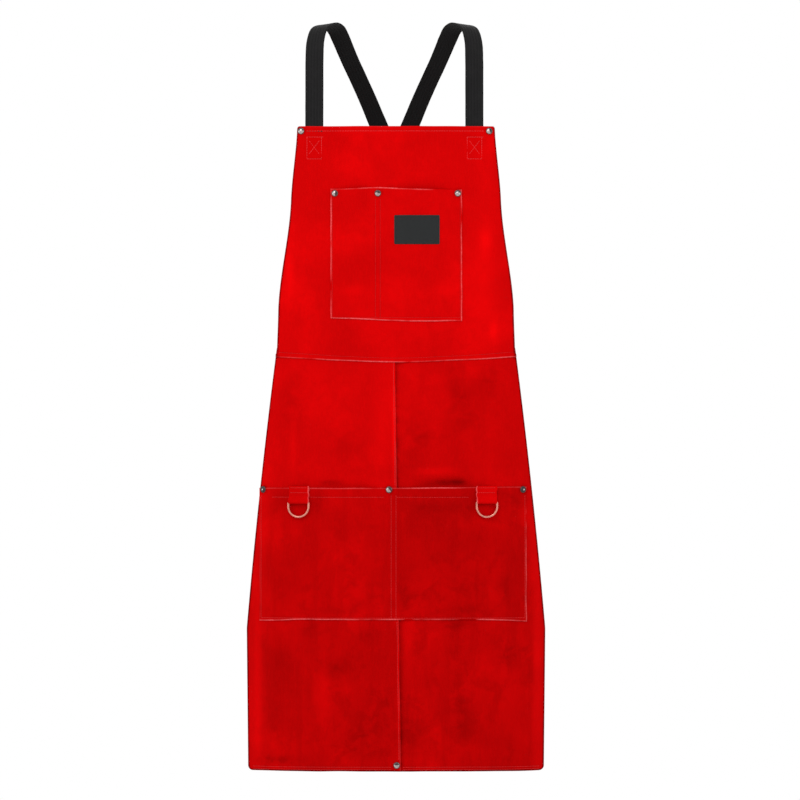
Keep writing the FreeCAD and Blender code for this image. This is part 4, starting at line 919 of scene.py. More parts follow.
def thread(name, colour):
    """Twisted sewing thread."""
    made = Finish(name, **{"Roughness": 0.8, "Specular_IOR_Level": 0.08})
    fuzz = made.grain(made.place(), 1800.0, 3.0, 0.6)
    shade = made.grain(made.place(), 60.0, 3.0, 0.6)
    mixed = made.mix(made.ramp(fuzz, 0.3, 0.7), tone(colour, 0.75), tone(colour, 1.15))
    mixed = made.mix(made.ramp(shade, 0.4, 0.65, 0, 0.55), mixed, tone(colour, 0.62))
    return made.finish(mixed, made.ramp(fuzz, 0.3, 0.7, 0.6, 0.85), made.bump(fuzz, 0.4, 0.0002))


def floor_paint():
    made = Finish("pale_floor", Roughness=0.9)
    cloud = made.grain(made.place(), 3.0, 3.0)
    return made.finish(made.mix(cloud, (0.80, 0.80, 0.80, 1), (0.84, 0.84, 0.84, 1)))


CLOTHS = {"red_suede": suede, "black_webbing": webbing, "label_cloth": label_cloth, "pale_floor": floor_paint}
# plated parts: which colour they take, how rough and how worn they are
METALS = {
    # the rivets' second finish is painted shade and dark reflection
    "nickel": ("nickel", 0.30, 0.5), "rivet_hollow": ("cap_shade", 0.5, 0.6),
    "ring_nickel": ("ring", 0.34, 0.3), "slide_steel": ("steel", 0.26, 0.12),
}
THREADS = {"red_thread": "thread", "strap_thread": "strap_thread", "dim_thread": "dim_thread"}
FINISHES = {}


def finish_of(name):
    """A material by name, made when it is first asked for."""
    colours = bpy.context.scene.apron_colours
    if name not in FINISHES:
        if name in METALS:
            colour, roughness, wear = METALS[name]
            FINISHES[name] = plated(name, getattr(colours, colour), roughness, wear)
        elif name in THREADS:
            FINISHES[name] = thread(name, getattr(colours, THREADS[name]))
        else:
            FINISHES[name] = CLOTHS[name]()
    return FINISHES[name]


# ---------------------------------------------------------------- what a user would change


def length(name, description, default, **limits):
    return FloatProperty(
        name=name, description=description, default=default, unit="LENGTH", precision=4, **limits
    )


def colour(name, description, default):
    return FloatVectorProperty(
        name=name, description=description, subtype="COLOR", size=3, default=default, min=0, max=1
    )


class APRON_PG_sizes(bpy.types.PropertyGroup):
    """Sizes of the sheets, straps and stitches, in metres."""

    hide_thickness: length("Hide thickness", "Thickness of each panel of suede", 0.0018, min=0.001, max=0.003)
    mesh_step: length(
        "Panel mesh step", "Distance between the lines of a panel's mesh", 0.005, min=0.003, max=0.02
    )
    strap_width: length("Strap width", "Width of the shoulder webbing", 0.030)
    strap_thickness: length("Strap thickness", "Thickness of the shoulder webbing", 0.002)
    strap_ribs: IntProperty(
        name="Strap ribs", description="Ribs woven along each strap", default=6, min=3, max=20,
    )
    stitch_pitch: length("Stitch pitch", "Distance from one stitch to the next", 0.0042)
    thread_radius: length("Thread radius", "Half the thickness of the sewing thread", 0.0004)


class APRON_PG_colours(bpy.types.PropertyGroup):
    """Colours of the finishes."""

    suede: colour("Suede", "Dyed nap of the hide", (0.50, 0.0006, 0.0010))
    raw_edge: colour("Raw edge", "Undyed cut edge of the hide", (0.66, 0.085, 0.09))
    webbing: colour("Webbing", "Black shoulder webbing", (0.0060, 0.0056, 0.0058))
    label: colour("Label", "Dark cloth of the blank patch", (0.0135, 0.0148, 0.0152))
    thread: colour("Thread", "Red sewing thread", (0.60, 0.020, 0.022))
    strap_thread: colour(
        "Strap thread", "Heavier thread that sews the straps to the bib", (0.64, 0.034, 0.038)
    )
    dim_thread: colour("Matching thread", "Thread of the rows that hardly show", (0.54, 0.008, 0.009))
    nickel: colour("Rivet nickel", "Plating of the rivet caps", (0.40, 0.35, 0.34))
    # painted shade and dark reflection on the shaded side of the rivet caps
    cap_shade: colour("Cap shade", "Dulled side of the rivet caps", (0.06, 0.05, 0.05))
    ring: colour("Ring nickel", "Plating of the rings", (0.60, 0.235, 0.18))
    steel: colour("Slide steel", "Plating of the strap slides", (0.36, 0.345, 0.335))


# ---------------------------------------------------------------- pieces


def level_at(z, amount, seed):
    """A cut edge at a height that wanders a little."""
    return lambda x: z + amount * noise.noise(Vector((x * 22, seed, 0.5)))


def make_bib():
    bib = hide_sheet(
        "bib", "bib", (waist_edge, level_at(BIB_TOP, 0.0003, 3.0)), lambda z: (-bib_half(z), bib_half(z)),
        (0.06, 0.08, 0.62, 0.10), rim=(1, 1, 0, 0),
        rows=(TOP_ROW, WAIST + INSET, WAIST + INSET + ROW_GAP, BOX_TOP, BOX_TOP - BOX_HIGH),
        columns=[STRAP_X[name] + side * BOX_HALF for name, _ in SIDES for side in (-1, 1)],
    )
    hand_in(bib, "bib_panel")


def right_dip(x, z):
    """The right skirt passes behind the left one at the centre seam."""
    return -LAP_DIP * smooth(seam_x(z) + 0.026, seam_x(z) + 0.003, x)


def make_skirts():
    ends = (level_at(HEM, 0.0006, 4.0), level_at(SKIRT_TOP, 0.0003, 5.0))
    rows = (HEM + INSET, HEM + INSET + ROW_GAP, *HOLLOW_ROWS)
    left = hide_sheet(
        "skirt_left", "skirt", ends, lambda z: (-skirt_half(z), seam_x(z)), (0.0, 0.17, 0.0, 0.0),
        rows=rows, rim=(1, 0, 1, 0),
    )
    hand_in(left, "skirt_left_panel")
    right = hide_sheet(
        "skirt_right", "skirt", ends, lambda z: (seam_x(z) - SEAM_LAP, skirt_half(z)), (0.0, 0.0, 0.0, 0.0),
        rows=rows, columns=(0.0, 0.008, 0.014), dip=right_dip, rim=(0, 1, 1, 0),
    )
    # the right panel takes a painted shadow along the lap
    worn, front = (right.data.attributes[key].data for key in ("worn", "front"))
    for mark, outer, vertex in zip(worn, front, right.data.vertices):
        gap = vertex.co.x - seam_x(vertex.co.z)
        mark.value += LAP_DARK * outer.value * math.exp(-((gap / LAP_SHADOW) ** 2))
    hand_in(right, "skirt_right_panel")


def make_bib_pocket():
    (x0, _, z0), (x1, _, z1) = BIB_POCKET

    def foot(x):
        slope = -0.0056 * smooth(x0 - 0.02, 0.05, x) + 0.0010 * smooth(0.05, x1, x)
        return z0 + 0.0020 + slope + 0.0006 * noise.noise(Vector((x * 30, 9, 0)))

    def mouth(x):
        peak = 0.0026 * math.exp(-(((x - DIVIDER_X) / 0.035) ** 2))
        return z1 + 0.0006 + peak - 0.0014 * smooth(0, x1, x)

    def sides(z):
        left, right = (noise.noise(Vector((z * 30, seed, 0))) for seed in (1, 5))
        return x0 + 0.0006 * left, x1 + 0.0009 * right

    pocket = hide_sheet(
        "bib_pocket_leather", "bib_pocket", (foot, mouth), sides, (1.05, 0.85, 1.35, 0.85),
        rows=(BIB_POCKET_FOOT,), columns=BIB_COLUMNS, finer=0.8,
    )
    hand_in(pocket, "bib_pocket")


def make_waist_pocket():
    (x0, _, z0), (x1, _, z1) = WAIST_POCKET

    def foot(x):
        drop = 0.0022 * smooth(-0.17, x0, x) + 0.0030 * smooth(0.14, x1, x)
        return z0 - drop + 0.0008 * noise.noise(Vector((x * 24, 7, 0)))

    def mouth(x):
        return z1 + 0.0018 * smooth(-0.05, x1, x) + 0.0005 * noise.noise(Vector((x * 24, 2, 0)))

    def sides(z):
        return x0, x1 + 0.0008 * noise.noise(Vector((z * 30, 3, 0)))

    pocket = hide_sheet(
        "waist_pocket_leather", "waist_pocket", (foot, mouth), sides, (0.05, 0.50, 1.10, 0.34),
        rows=(WAIST_POCKET_FOOT, z1 - POCKET_ROW), columns=WAIST_COLUMNS,
    )
    hand_in(pocket, "waist_pocket")


def make_label():
    """A blank woven patch with a turned border, on the bib pocket."""
    (x0, _, z0), (x1, _, z1) = LABEL
    wide, high = x1 - x0, z1 - z0
    shares_x, shares_z = spaced(wide, LABEL_STEP), spaced(high, LABEL_STEP)
    points = []
    hide = bpy.context.scene.apron_sizes.hide_thickness
    for face, share_z, share_x in itertools.product((1, 0), shares_z, shares_x):
        x, z = x0 + wide * share_x, z0 + high * share_z
        gap_x = min(wide * share_x, wide * (1 - share_x))
        gap_z = min(high * share_z, high * (1 - share_z))
        cut = round_off(LABEL_CORNER, gap_z)
        x += cut * (1 if share_x < 0.5 else -1) * smooth(LABEL_CORNER * 2, 0, gap_x)
        gap = min(gap_x, gap_z)
        curl = round_off(LABEL_THICKNESS / 2, gap)
        border = LABEL_BORDER * smooth(0.0042, 0.0030, gap)
        base = stand_off("bib_pocket", x, z) + hide + CLEAR
        rise = LABEL_THICKNESS - curl - LABEL_BORDER + border if face else curl
        points.append(on_layer(x, z, base + rise))
    label = closed_sheet("label", points, len(shares_x), finish_of("label_cloth"))
    hand_in(label, "label_patch")


# the straps' way over the left shoulder and down the back, to where they cross. Each point is its share
# of the way across to the crossing, its depth as a share of the front's (-) or the back's (+), its drop
# as a share of the bib top's, the rough direction across the strap, and 1 where the straps pass
SHOULDER_ROUTE = (
    (0.000, -0.735, 0.610, (1, -0.06, 0), 0),
    (0.000, -0.560, 0.345, (1, -0.06, 0.02), 0),
    (0.010, -0.390, 0.170, (0.98, -0.16, 0.06), 0),
    (0.060, -0.200, 0.040, (0.95, -0.24, 0.10), 0),
    (0.165, 0.000, -0.006, (0.94, -0.26, 0.14), 0),
    (0.262, 0.220, 0.035, (0.93, -0.10, 0.22), 0),
    (0.325, 0.390, 0.125, (0.92, 0.10, 0.32), 0),
    (0.385, 0.540, 0.232, (0.90, 0.25, 0.37), 0),
    (0.455, 0.690, 0.355, (0.88, 0.34, 0.38), 1),
    (0.555, 0.830, 0.518, (0.88, 0.34, 0.38), 1),
    (0.668, 0.930, 0.710, (0.90, 0.28, 0.38), 1),
    (0.785, 0.985, 0.925, (0.92, 0.18, 0.38), 1),
    (1.000, 1.000, 1.305, (0.92, 0, 0.40), 1),
)
# and from there round the flank: how far round to the waist ring's run, how far down to it, and 1 where
# the straps pass
BACK_ROUTE = ((0.133, 0.262, 1), (0.266, 0.440, 1), (0.443, 0.614, 0), (0.620, 0.754, 0), (0.800, 0.875, 0))
STRAP_MIDDLE = (STRAP_X["left"] + STRAP_X["right"]) / 2
FLANK_X, FLANK_ANGLE = 0.185, math.radians(30)
BACK_DEPTH = 0.106
# the webbing doubled through the waist ring: how long its two runs are, where the loop narrows to them,
# and how far the runs and the loop lie from its middle
RUN_LENGTH, TAIL_LENGTH, RUN_START = 0.096, 0.078, 0.026
RUN_OFF, LOOP_OFF = 0.0013, 0.0055
RING_CENTRE = Vector((FLANK_X, -0.048, BIB_TOP - 0.325))
ALONG = Vector((0, math.cos(FLANK_ANGLE), math.sin(FLANK_ANGLE)))
ACROSS = Vector((0, -math.sin(FLANK_ANGLE), math.cos(FLANK_ANGLE)))
OUT = Vector((1, 0, 0))
HINGE_CENTRE = RING_CENTRE - ALONG * 0.0155
BACK_RADIUS = BACK_DEPTH - (RING_CENTRE.y + RUN_LENGTH * ALONG.y)
# how far apart the two straps lie where they pass, and the ribs and edges of the webbing
CROSS_GAP = 0.0032
RIB_DEPTH, STRAP_WANDER = 0.00018, 0.0003


def round_the_back(distance):
    """A place on the way round a wearer's back, and the way on from there, in plan."""
    straight = FLANK_X - BACK_RADIUS
    if distance <= straight:
        return Vector((distance, BACK_DEPTH, 0)), Vector((1, 0, 0))
    angle = (distance - straight) / BACK_RADIUS
    x = straight + BACK_RADIUS * math.sin(angle)
    y = BACK_DEPTH - BACK_RADIUS * (1 - math.cos(angle))
    return Vector((x, y, 0)), beside(-angle)


def by_ring(along, out):
    """A place on the doubled end: how far along from the middle of the waist ring, and how far out."""
    return RING_CENTRE + ALONG * along + OUT * out, ACROSS, 0


def strap_route():
    """The route of the strap that starts at the left of the bib and ends at the right of the waist."""
    depth, angle = plan(STRAP_X["left"], LAYER["bib"])
    sewn = Vector((STRAP_X["left"], depth, BIB_TOP)) - heading(angle) * RUN_OFF
    route = [(sewn - Vector((0, 0, drop)), beside(angle), 0) for drop in (0.058, 0.038, 0.018, 0)]
    for x_share, y_share, z_share, level, passing in SHOULDER_ROUTE:
        x = STRAP_X["left"] + (STRAP_MIDDLE - STRAP_X["left"]) * x_share
        y = y_share * (FRONT_DEPTH if y_share < 0 else BACK_DEPTH)
        route.append((Vector((x, y, BIB_TOP * z_share)), Vector(level), passing))
    crossing = route[-1][0].z
    run_end = RING_CENTRE + ALONG * RUN_LENGTH
    whole_way = FLANK_X - BACK_RADIUS + BACK_RADIUS * math.pi / 2
    for share, drop_share, passing in BACK_ROUTE:
        place, forward = round_the_back(whole_way * share)
        place.z = crossing + (run_end.z - crossing) * drop_share
        route.append((place, forward + Vector((0, 0, 1)), passing))
    route += [by_ring(along, -RUN_OFF) for along in (RUN_LENGTH, 0.072, 0.048, RUN_START)]
    route.append(by_ring(RUN_START / 3, -LOOP_OFF * 0.85))
    for number in range(7):
        turn = math.pi * number / 6
        route.append(by_ring(-LOOP_OFF * math.sin(turn), -LOOP_OFF * math.cos(turn)))
    route.append(by_ring(RUN_START / 3, LOOP_OFF * 0.85))
    route += [by_ring(along, RUN_OFF) for along in (RUN_START, 0.052, TAIL_LENGTH)]
    return route


def mirrored(vector, middle=0.0):
    """The same place or direction on the other side of a middle plane."""
    return Vector((2 * middle - vector.x, vector.y, vector.z))


def make_straps():
    """Two straps that start at their own places on the bib and end as mirror images at the waist."""
    sizes = bpy.context.scene.apron_sizes
    above_back = 4 + len(SHOULDER_ROUTE)
    apart = Vector((0, CROSS_GAP / 2, 0))
    routes = {"left": [], "right": []}
    for number, (place, level, passing) in enumerate(strap_route()):
        other = mirrored(place, STRAP_MIDDLE if number < above_back else 0)
        routes["left"].append((place + apart * passing, level))
        routes["right"].append((other - apart * passing, mirrored(level)))
    form = (sizes.strap_width, sizes.strap_thickness, sizes.strap_ribs, RIB_DEPTH)
    section = strip_section(*form)
    for name, side in SIDES:
        places = smooth_route([place for place, _ in routes[name]], 6)
        levels = smooth_route([level.normalized() for _, level in routes[name]], 6)
        route = list(zip(places, levels))
        strap = strip(f"{name}_strap_webbing", route, *form, finish_of("black_webbing"), STRAP_WANDER)
        # the face towards the wearer, which takes painted shade
        count = range(len(strap.data.vertices))
        paint(strap, "inner", [float(side * section[number % len(section)][1] < 0) for number in count])
        hand_in(strap, f"{name}_strap")


def hide_strip(name, route, width, thickness, wander, pale_side):
    """A strip of hide with one or both side edges raw."""
    piece = strip(name, route, width, thickness, 0, 0.0, finish_of("red_suede"), wander)
    section = strip_section(width, thickness, 0, 0.0)
    raw = []
    for number, vertex in enumerate(piece.data.vertices):
        a = section[number % len(section)][0] / (width / 2)
        share = 1.1 * smooth(0.90, 0.95, a * pale_side) if pale_side else 0.4 * smooth(0.9, 0.97, abs(a))
        raw.append(min(share * (0.8 + 0.8 * noise.noise(Vector((vertex.co.z * 90, 2.0, 5.0)))), 1))
    paint(piece, "raw", raw)
    # worn patches and painted shadows round the caps and rings
    paint(piece, "worn", [painted_shade_and_wear(vertex.co) for vertex in piece.data.vertices])
    return piece


D_TAB_WIDTH, D_TAB_LENGTH = 0.036, 0.026
D_TAB_CUT = D_TAB_WIDTH - 0.003
D_TAB_LEAF, D_TAB_WANDER = 0.00145, 0.0034
# how far the tab's inner face lies behind the bar
D_TAB_BACK = 0.0036
EYE_CENTRE = 0.0029
RING_OFFSET = 0.0019 + 0.0018 + CLEAR + D_TAB_BACK
W_TAB_WIDTH, W_TAB_LEAF, W_TAB_THICKNESS = 0.0275, 0.0014, 0.003
W_TAB_BEND, W_TAB_INNER_X = 0.024, 0.152


def d_ring_frame(name):
    """Where a front ring's bar lies: its place, the direction along the bar and outwards."""
    x = D_RING_X[name]
    angle = plan(x, RING_OFFSET)[1]
    return on_layer(x, D_RING_Z, RING_OFFSET), beside(angle), heading(angle)


def make_d_ring_tabs():
    """Two tabs of hide, each folded round the bar of its ring."""
    back = -D_TAB_BACK + D_TAB_LEAF / 2
    front = back + D_TAB_LEAF + CLEAR
    turns = [math.pi * number / 8 for number in range(9)]
    section = [(back, up) for up in (D_TAB_LENGTH, 0.020, 0.014, 0.008, 0.003)]
    section += [(-EYE_CENTRE * math.cos(turn), -EYE_CENTRE * math.sin(turn)) for turn in turns]
    section += [(0.0021, 0.0028), (0.0006, 0.0048)]
    section += [(front, up) for up in (0.008, 0.014, 0.020, D_TAB_LENGTH - 0.0005)]
    for name, side in SIDES:
        place, bar, out = d_ring_frame(name)
        route = smooth_route([place + out * a + Vector((0, 0, 1)) * b for a, b in section], 3)
        tab = hide_strip(
            f"{name}_d_ring_tab_leather", [(spot, bar) for spot in route],
            D_TAB_CUT, D_TAB_LEAF, D_TAB_WANDER, -side,
        )
        hand_in(tab, f"{name}_d_ring_tab")


def waist_tab_line():
    """The middle of the right waist tab: places, outward directions and directions across the strip."""
    radius = SIDE_RADIUS - 0.0007 - W_TAB_THICKNESS / 2
    centre = Vector((SIDE_X, SIDE_Y, 0))
    lean = math.asin((FLANK_X - W_TAB_BEND - SIDE_X) / (radius - W_TAB_BEND))
    corner = centre + heading(lean) * (radius - W_TAB_BEND)
    first = math.asin((W_TAB_INNER_X - SIDE_X) / radius)
    spots = []
    for number in range(13):
        angle = first + (lean - first) * (number / 12)
        spots.append((centre + heading(angle) * radius, angle))
    for number in range(1, 11):
        angle = lean + (math.pi / 2 - lean) * number / 10
        spots.append((corner + heading(angle) * W_TAB_BEND, angle))
    end = HINGE_CENTRE - ALONG * 0.0045
    spots.append((Vector((end.x, end.y, 0)), math.pi / 2))
    heights = [end.z]
    for (one, _), (other, _) in zip(spots[-2::-1], spots[:0:-1]):
        heights.append(heights[-1] - (other - one).length * math.tan(FLANK_ANGLE))
    line = []
    for (spot, angle), height in zip(spots, reversed(heights)):
        level = beside(angle) * -math.sin(FLANK_ANGLE) + Vector((0, 0, math.cos(FLANK_ANGLE)))
        line.append((Vector((spot.x, spot.y, height)), heading(angle), level.normalized()))
    return line


def make_waist_tabs():
    """Two doubled strips of hide behind the waist corners, each with an eye for its ring."""
    line = waist_tab_line()
    lift = W_TAB_LEAF / 2 + CLEAR / 2
    outer, inner = (
        [(place + normal * (lift * face), level) for place, normal, level in line] for face in (1, -1)
    )
    turns = [math.pi * (-0.15 + 1.3 * number / 12) for number in range(13)]
    eye = [
        (HINGE_CENTRE + OUT * (EYE_CENTRE * math.cos(turn)) + ALONG * (EYE_CENTRE * math.sin(turn)), ACROSS)
        for turn in turns
    ]
    whole = outer + eye + inner[::-1]
    for name, side in SIDES:
        route = whole if side > 0 else [(mirrored(place), mirrored(level)) for place, level in whole]
        tab = hide_strip(f"{name}_waist_tab_leather", route, W_TAB_WIDTH, W_TAB_LEAF, 0.0004, 0)
        hand_in(tab, f"{name}_waist_tab")


# each kind of rivet: name, how far out its caps sit, and where, with the direction of the side painted dark as
# shade and dark reflection: an angle, None for the upper rim alone, or the number below for nearly the whole
# cap
SHADED_CAP = 9
RIVETS = (
    ("bib_corner_rivet", 0.0037, ((CORNER_RIVETS_X[0], TOP_ROW, None), (CORNER_RIVETS_X[1], TOP_ROW, 0.3))),
    ("bib_pocket_rivet", 0.0056, (
        (BIB_POCKET[0][0] + 0.007, POCKET_RIVET_Z, 0.0), (DIVIDER_X, POCKET_RIVET_Z, 1.3),
        (BIB_POCKET[1][0] - 0.007, POCKET_RIVET_Z, None),
    )),
    ("waist_pocket_rivet", 0.0037, (
        (WAIST_POCKET[0][0] + 0.006, WAIST_RIVET_Z, SHADED_CAP), (WAIST_RIVET_X, WAIST_RIVET_Z, 0.7),
        (WAIST_POCKET[1][0] - 0.006, WAIST_RIVET_Z, SHADED_CAP),
    )),
    ("hem_rivet", 0.0018, ((HEM_RIVET_X, HEM_RIVET_Z, 1.6),)),
)
# distances from the middle of a cap: where its edge starts, where the dome ends, where one shaded all over
# turns dark
CAP_EDGE, DOME_EDGE, SHADED_FROM = 0.0044, 0.0040, 0.0012


def make_rivets():
    """Domed nickel caps, with painted shade on one side and round the rim, over their washers."""
    cap = turned("rivet_model", 36, [
        (0.0006, 0.0026), (0.0013, 0.00255), (0.0021, 0.0024), (0.0029, 0.0021), (0.0036, 0.0017),
        (0.0042, 0.0012), (0.0046, 0.0008), (0.0048, 0.0005), (0.0052, 0.0005), (0.0055, 0.0003),
        (0.0055, 0.0001), (0.0050, 0.0),
    ])
    centres = [face.center.copy() for face in cap.data.polygons]
    for label, layer_face, places in RIVETS:
        matrices = []
        for x, z, _ in places:
            angle = plan(x, layer_face)[1]
            matrices.append(facing(on_layer(x, z, layer_face), beside(angle), heading(angle)))
        caps = copies(f"{label}_heads", cap, matrices, finish_of("nickel"))
        caps.data.materials.append(finish_of("rivet_hollow"))
        for number, face in enumerate(caps.data.polygons):
            centre, dark = centres[number % len(centres)], places[number // len(centres)][2]
            reach = math.hypot(centre.x, centre.y)
            if dark is None:
                shaded = reach > 0.0026 and centre.y > 0.0010
            else:
                shaded = math.cos(math.atan2(centre.y, centre.x) - dark) * reach > 0.0006
            # the rim and the shaded side take the finish of painted shade
            if reach > CAP_EDGE or (shaded and reach < DOME_EDGE) or (dark == SHADED_CAP and reach > SHADED_FROM):
                face.material_index = 1
        hand_in(caps, f"{label}_caps")
    drop_model(cap)


def assign(node, finish):
    """Gives a carried-over part its finish."""
    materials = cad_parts[node].data.materials
    materials.clear()
    materials.append(finish_of(finish))


def make_fittings():
    for name, _ in SIDES:
        assign(f"{name}_d_ring", "ring_nickel")
        assign(f"{name}_waist_ring", "ring_nickel")
        assign(f"{name}_strap_slide", "slide_steel")
    for label, *_ in RIVETS:
        assign(f"{label}_burrs", "nickel")


def stepped(row, pitch):
    """Places about a pitch apart along a row, which may turn on its way."""
    lengths = [math.hypot(b[0] - a[0], b[1] - a[1]) for a, b in zip(row, row[1:])]
    count = max(round(sum(lengths) / pitch), 1)
    places, leg, passed = [], 0, 0.0
    for number in range(count + 1):
        run = sum(lengths) * number / count
        while leg < len(lengths) - 1 and run > passed + lengths[leg]:
            passed += lengths[leg]
            leg += 1
        share = (run - passed) / lengths[leg]
        (ax, az), (bx, bz) = row[leg], row[leg + 1]
        places.append((ax + (bx - ax) * share, az + (bz - az) * share))
    return places


def stitches_along(spots, lift):
    """Matrices that lay a stitch between each place and the next, lifted by a share of its radius."""
    radius = bpy.context.scene.apron_sizes.thread_radius
    upright = Matrix.Rotation(math.pi / 2, 4, "Y")
    matrices = []
    for (a, out), (b, _) in zip(spots, spots[1:]):
        length = (b - a).length
        laid = facing((a + b) / 2 + out * (radius * lift), (b - a).normalized(), out)
        matrices.append(laid @ upright @ Matrix.Diagonal((radius, radius, length * STITCH_SHARE, 1)))
    return matrices


# how much of the pitch a stitch fills, and the rows whose thread isn't the plain red one
STITCH_SHARE = 0.84
ROW_THREADS = {
    "strap_stitching": "strap_thread", "bib_top_stitching": "strap_thread",
    "waist_seam_stitching": "dim_thread", "bib_pocket_stitching": "dim_thread",
}


def make_stitching():
    # one stitch, 1 long, that dives into the hide at both ends
    model = turned("stitch_model", 6, [
        (0.35, -0.5), (0.85, -0.42), (1.0, -0.2), (1.0, 0.2), (0.85, 0.42), (0.35, 0.5),
    ])
    pitch = bpy.context.scene.apron_sizes.stitch_pitch
    sewn = {}
    for name, rows in ROWS.items():
        layer, sewn[name] = SEWN_ON[name], []
        for row in rows:
            spots = [(on_face(layer, x, z), outward(x)) for x, z in stepped(row, pitch)]
            sewn[name] += stitches_along(spots, 0.55)
    sewn["d_ring_tab_stitching"] = []
    half, face = D_TAB_WIDTH / 2 - INSET - 0.001, -D_TAB_BACK + 2 * D_TAB_LEAF + CLEAR
    for name, _ in SIDES:
        place, bar, out = d_ring_frame(name)
        for level in (D_TAB_LENGTH - INSET, D_TAB_LENGTH - INSET - 0.008):
            on_tab = place + out * face + Vector((0, 0, level))
            spots = [(on_tab + bar * (half * (share / 4 - 1)), out) for share in range(9)]
            sewn["d_ring_tab_stitching"] += stitches_along(spots, 0.5)
    for name, matrices in sewn.items():
        finish = finish_of(ROW_THREADS.get(name, "red_thread"))
        piece = copies(name + "_threads", model, matrices, finish)
        hand_in(piece, name)
    drop_model(model)


def linked(name, data):
    made = bpy.data.objects.new(name, data)
    bpy.context.scene.collection.objects.link(made)
    return made


def make_stage():
    """A pale floor, soft studio light and the camera."""
    scene = bpy.context.scene
    scene.world = bpy.data.worlds.new("studio")
    scene.world.use_nodes = True
    background = scene.world.node_tree.nodes["Background"]
    background.inputs["Color"].default_value = (1, 1, 1, 1)
    background.inputs["Strength"].default_value = 1.0
    deselect()
    bpy.ops.mesh.primitive_circle_add(vertices=128, radius=1.5, fill_type="NGON", location=(0, 0, -1.44))
    floor = bpy.context.object
    floor.name = "floor"
    bpy.ops.object.transform_apply(location=True)
    floor.data.materials.append(finish_of("pale_floor"))
    for name, place, aim, size, power in (
        ("key", (-0.5, -1.5, 0.75), (0, 0, -0.35), 1.1, 16),
        ("side_left", (-1.7, -0.7, -0.5), (0, 0, -0.6), 1.2, 7),
        ("side_right", (1.7, -0.7, -0.5), (0, 0, -0.6), 1.2, 7),
        ("back", (0.3, 1.8, 0.6), (0, 0, -0.5), 1.2, 12),
    ):
        lamp = linked(name, bpy.data.lights.new(name, "AREA"))
        lamp.data.size, lamp.data.energy = size, power
        lamp.location = place
        lamp.rotation_euler = (Vector(aim) - Vector(place)).to_track_quat("-Z", "Y").to_euler()
    camera = linked("camera", bpy.data.cameras.new("camera"))
    camera.data.lens, camera.data.sensor_width, camera.data.clip_end = 381.8, 36, 100
    camera.location = (0.0066, -14.12, -0.624)
    camera.rotation_euler = (math.pi / 2, 0, 0)
    scene.camera = camera
    scene.view_settings.view_transform = "Standard"


# ---------------------------------------------------------------- operators


class APRON_OT_stage(bpy.types.Operator):
    """Adds the floor, the studio lights and the camera"""

    bl_idname = "apron.stage"
    bl_label = "Stage"

    def execute(self, context):
        make_stage()
        return {"FINISHED"}


class APRON_OT_bib(bpy.types.Operator):
    """Models the bib panel"""

    bl_idname = "apron.bib"
    bl_label = "Bib"

    def execute(self, context):
        make_bib()
        return {"FINISHED"}


class APRON_OT_skirts(bpy.types.Operator):
    """Models the two skirt panels and their centre seam"""

    bl_idname = "apron.skirts"
    bl_label = "Skirts"

    def execute(self, context):
        make_skirts()
        return {"FINISHED"}


class APRON_OT_bib_pocket(bpy.types.Operator):
    """Models the divided chest pocket"""

    bl_idname = "apron.bib_pocket"
    bl_label = "Bib pocket"

    def execute(self, context):
        make_bib_pocket()
        return {"FINISHED"}


class APRON_OT_waist_pocket(bpy.types.Operator):
    """Models the wide double pocket"""

    bl_idname = "apron.waist_pocket"
    bl_label = "Waist pocket"

    def execute(self, context):
        make_waist_pocket()
        return {"FINISHED"}


class APRON_OT_label(bpy.types.Operator):
    """Models the blank patch on the chest pocket"""

    bl_idname = "apron.label"
    bl_label = "Label"

    def execute(self, context):
        make_label()
        return {"FINISHED"}


class APRON_OT_straps(bpy.types.Operator):
    """Models the crossing shoulder straps"""

    bl_idname = "apron.straps"
    bl_label = "Straps"

    def execute(self, context):
        make_straps()
        return {"FINISHED"}


class APRON_OT_d_ring_tabs(bpy.types.Operator):
    """Models the folded tabs of the front rings"""

    bl_idname = "apron.d_ring_tabs"
    bl_label = "D-ring tabs"

    def execute(self, context):
        make_d_ring_tabs()
        return {"FINISHED"}


class APRON_OT_waist_tabs(bpy.types.Operator):
    """Models the doubled tabs of the waist rings"""

    bl_idname = "apron.waist_tabs"
    bl_label = "Waist tabs"

    def execute(self, context):
        make_waist_tabs()
        return {"FINISHED"}


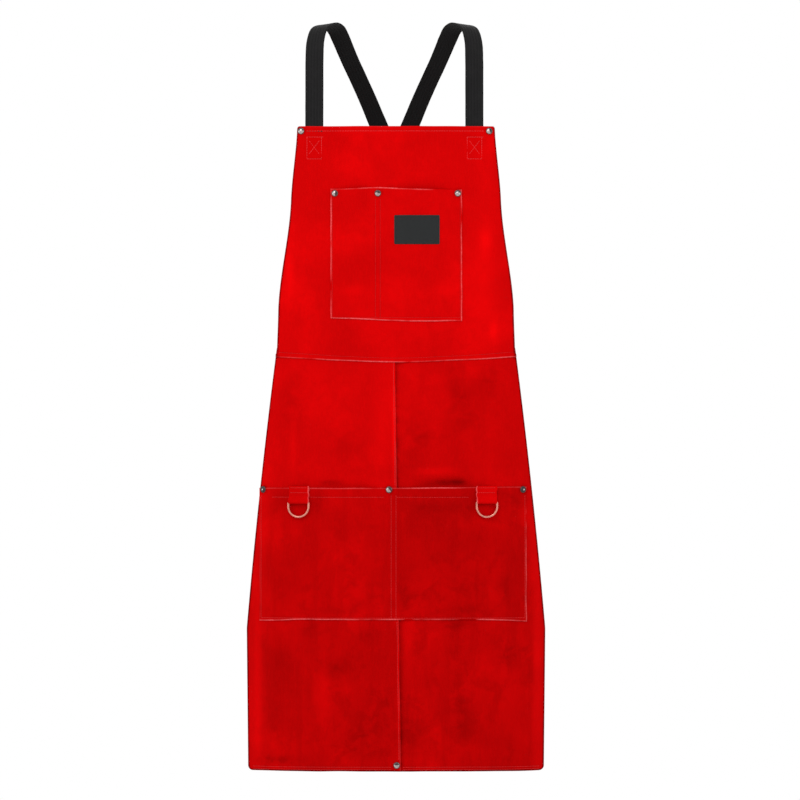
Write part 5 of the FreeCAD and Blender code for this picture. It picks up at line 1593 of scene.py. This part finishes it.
class APRON_OT_rivets(bpy.types.Operator):
    """Models the rivet caps"""

    bl_idname = "apron.rivets"
    bl_label = "Rivets"

    def execute(self, context):
        make_rivets()
        return {"FINISHED"}


class APRON_OT_fittings(bpy.types.Operator):
    """Finishes the rings, slides and washers"""

    bl_idname = "apron.fittings"
    bl_label = "Fittings"

    def execute(self, context):
        make_fittings()
        return {"FINISHED"}


class APRON_OT_stitching(bpy.types.Operator):
    """Sews every row of stitches"""

    bl_idname = "apron.stitching"
    bl_label = "Stitching"

    def execute(self, context):
        make_stitching()
        return {"FINISHED"}


STEPS = (
    APRON_OT_stage,
    APRON_OT_bib,
    APRON_OT_skirts,
    APRON_OT_bib_pocket,
    APRON_OT_waist_pocket,
    APRON_OT_label,
    APRON_OT_straps,
    APRON_OT_d_ring_tabs,
    APRON_OT_waist_tabs,
    APRON_OT_rivets,
    APRON_OT_fittings,
    APRON_OT_stitching,
)


class APRON_PT_panel(bpy.types.Panel):
    """Sizes, colours and steps of the apron"""

    bl_idname = "APRON_PT_panel"
    bl_label = "Welding Apron"
    bl_space_type = "VIEW_3D"
    bl_region_type = "UI"
    bl_category = "Apron"

    def draw(self, context):
        for group in (context.scene.apron_sizes, context.scene.apron_colours):
            box = self.layout.box()
            for key in group.__annotations__:
                box.prop(group, key)
        column = self.layout.column(align=True)
        for step in STEPS:
            column.operator(step.bl_idname, text=step.bl_label)


CLASSES = (APRON_PG_sizes, APRON_PG_colours) + STEPS + (APRON_PT_panel,)


def register():
    for kind in CLASSES:
        bpy.utils.register_class(kind)
    bpy.types.Scene.apron_sizes = PointerProperty(type=APRON_PG_sizes)
    bpy.types.Scene.apron_colours = PointerProperty(type=APRON_PG_colours)


def unregister():
    del bpy.types.Scene.apron_colours
    del bpy.types.Scene.apron_sizes
    for kind in reversed(CLASSES):
        bpy.utils.unregister_class(kind)


def main():
    register()
    for step in STEPS:
        group, name = step.bl_idname.split(".")
        getattr(getattr(bpy.ops, group), name)()
    deselect()
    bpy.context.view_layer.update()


if __name__ == "__main__":
    main()
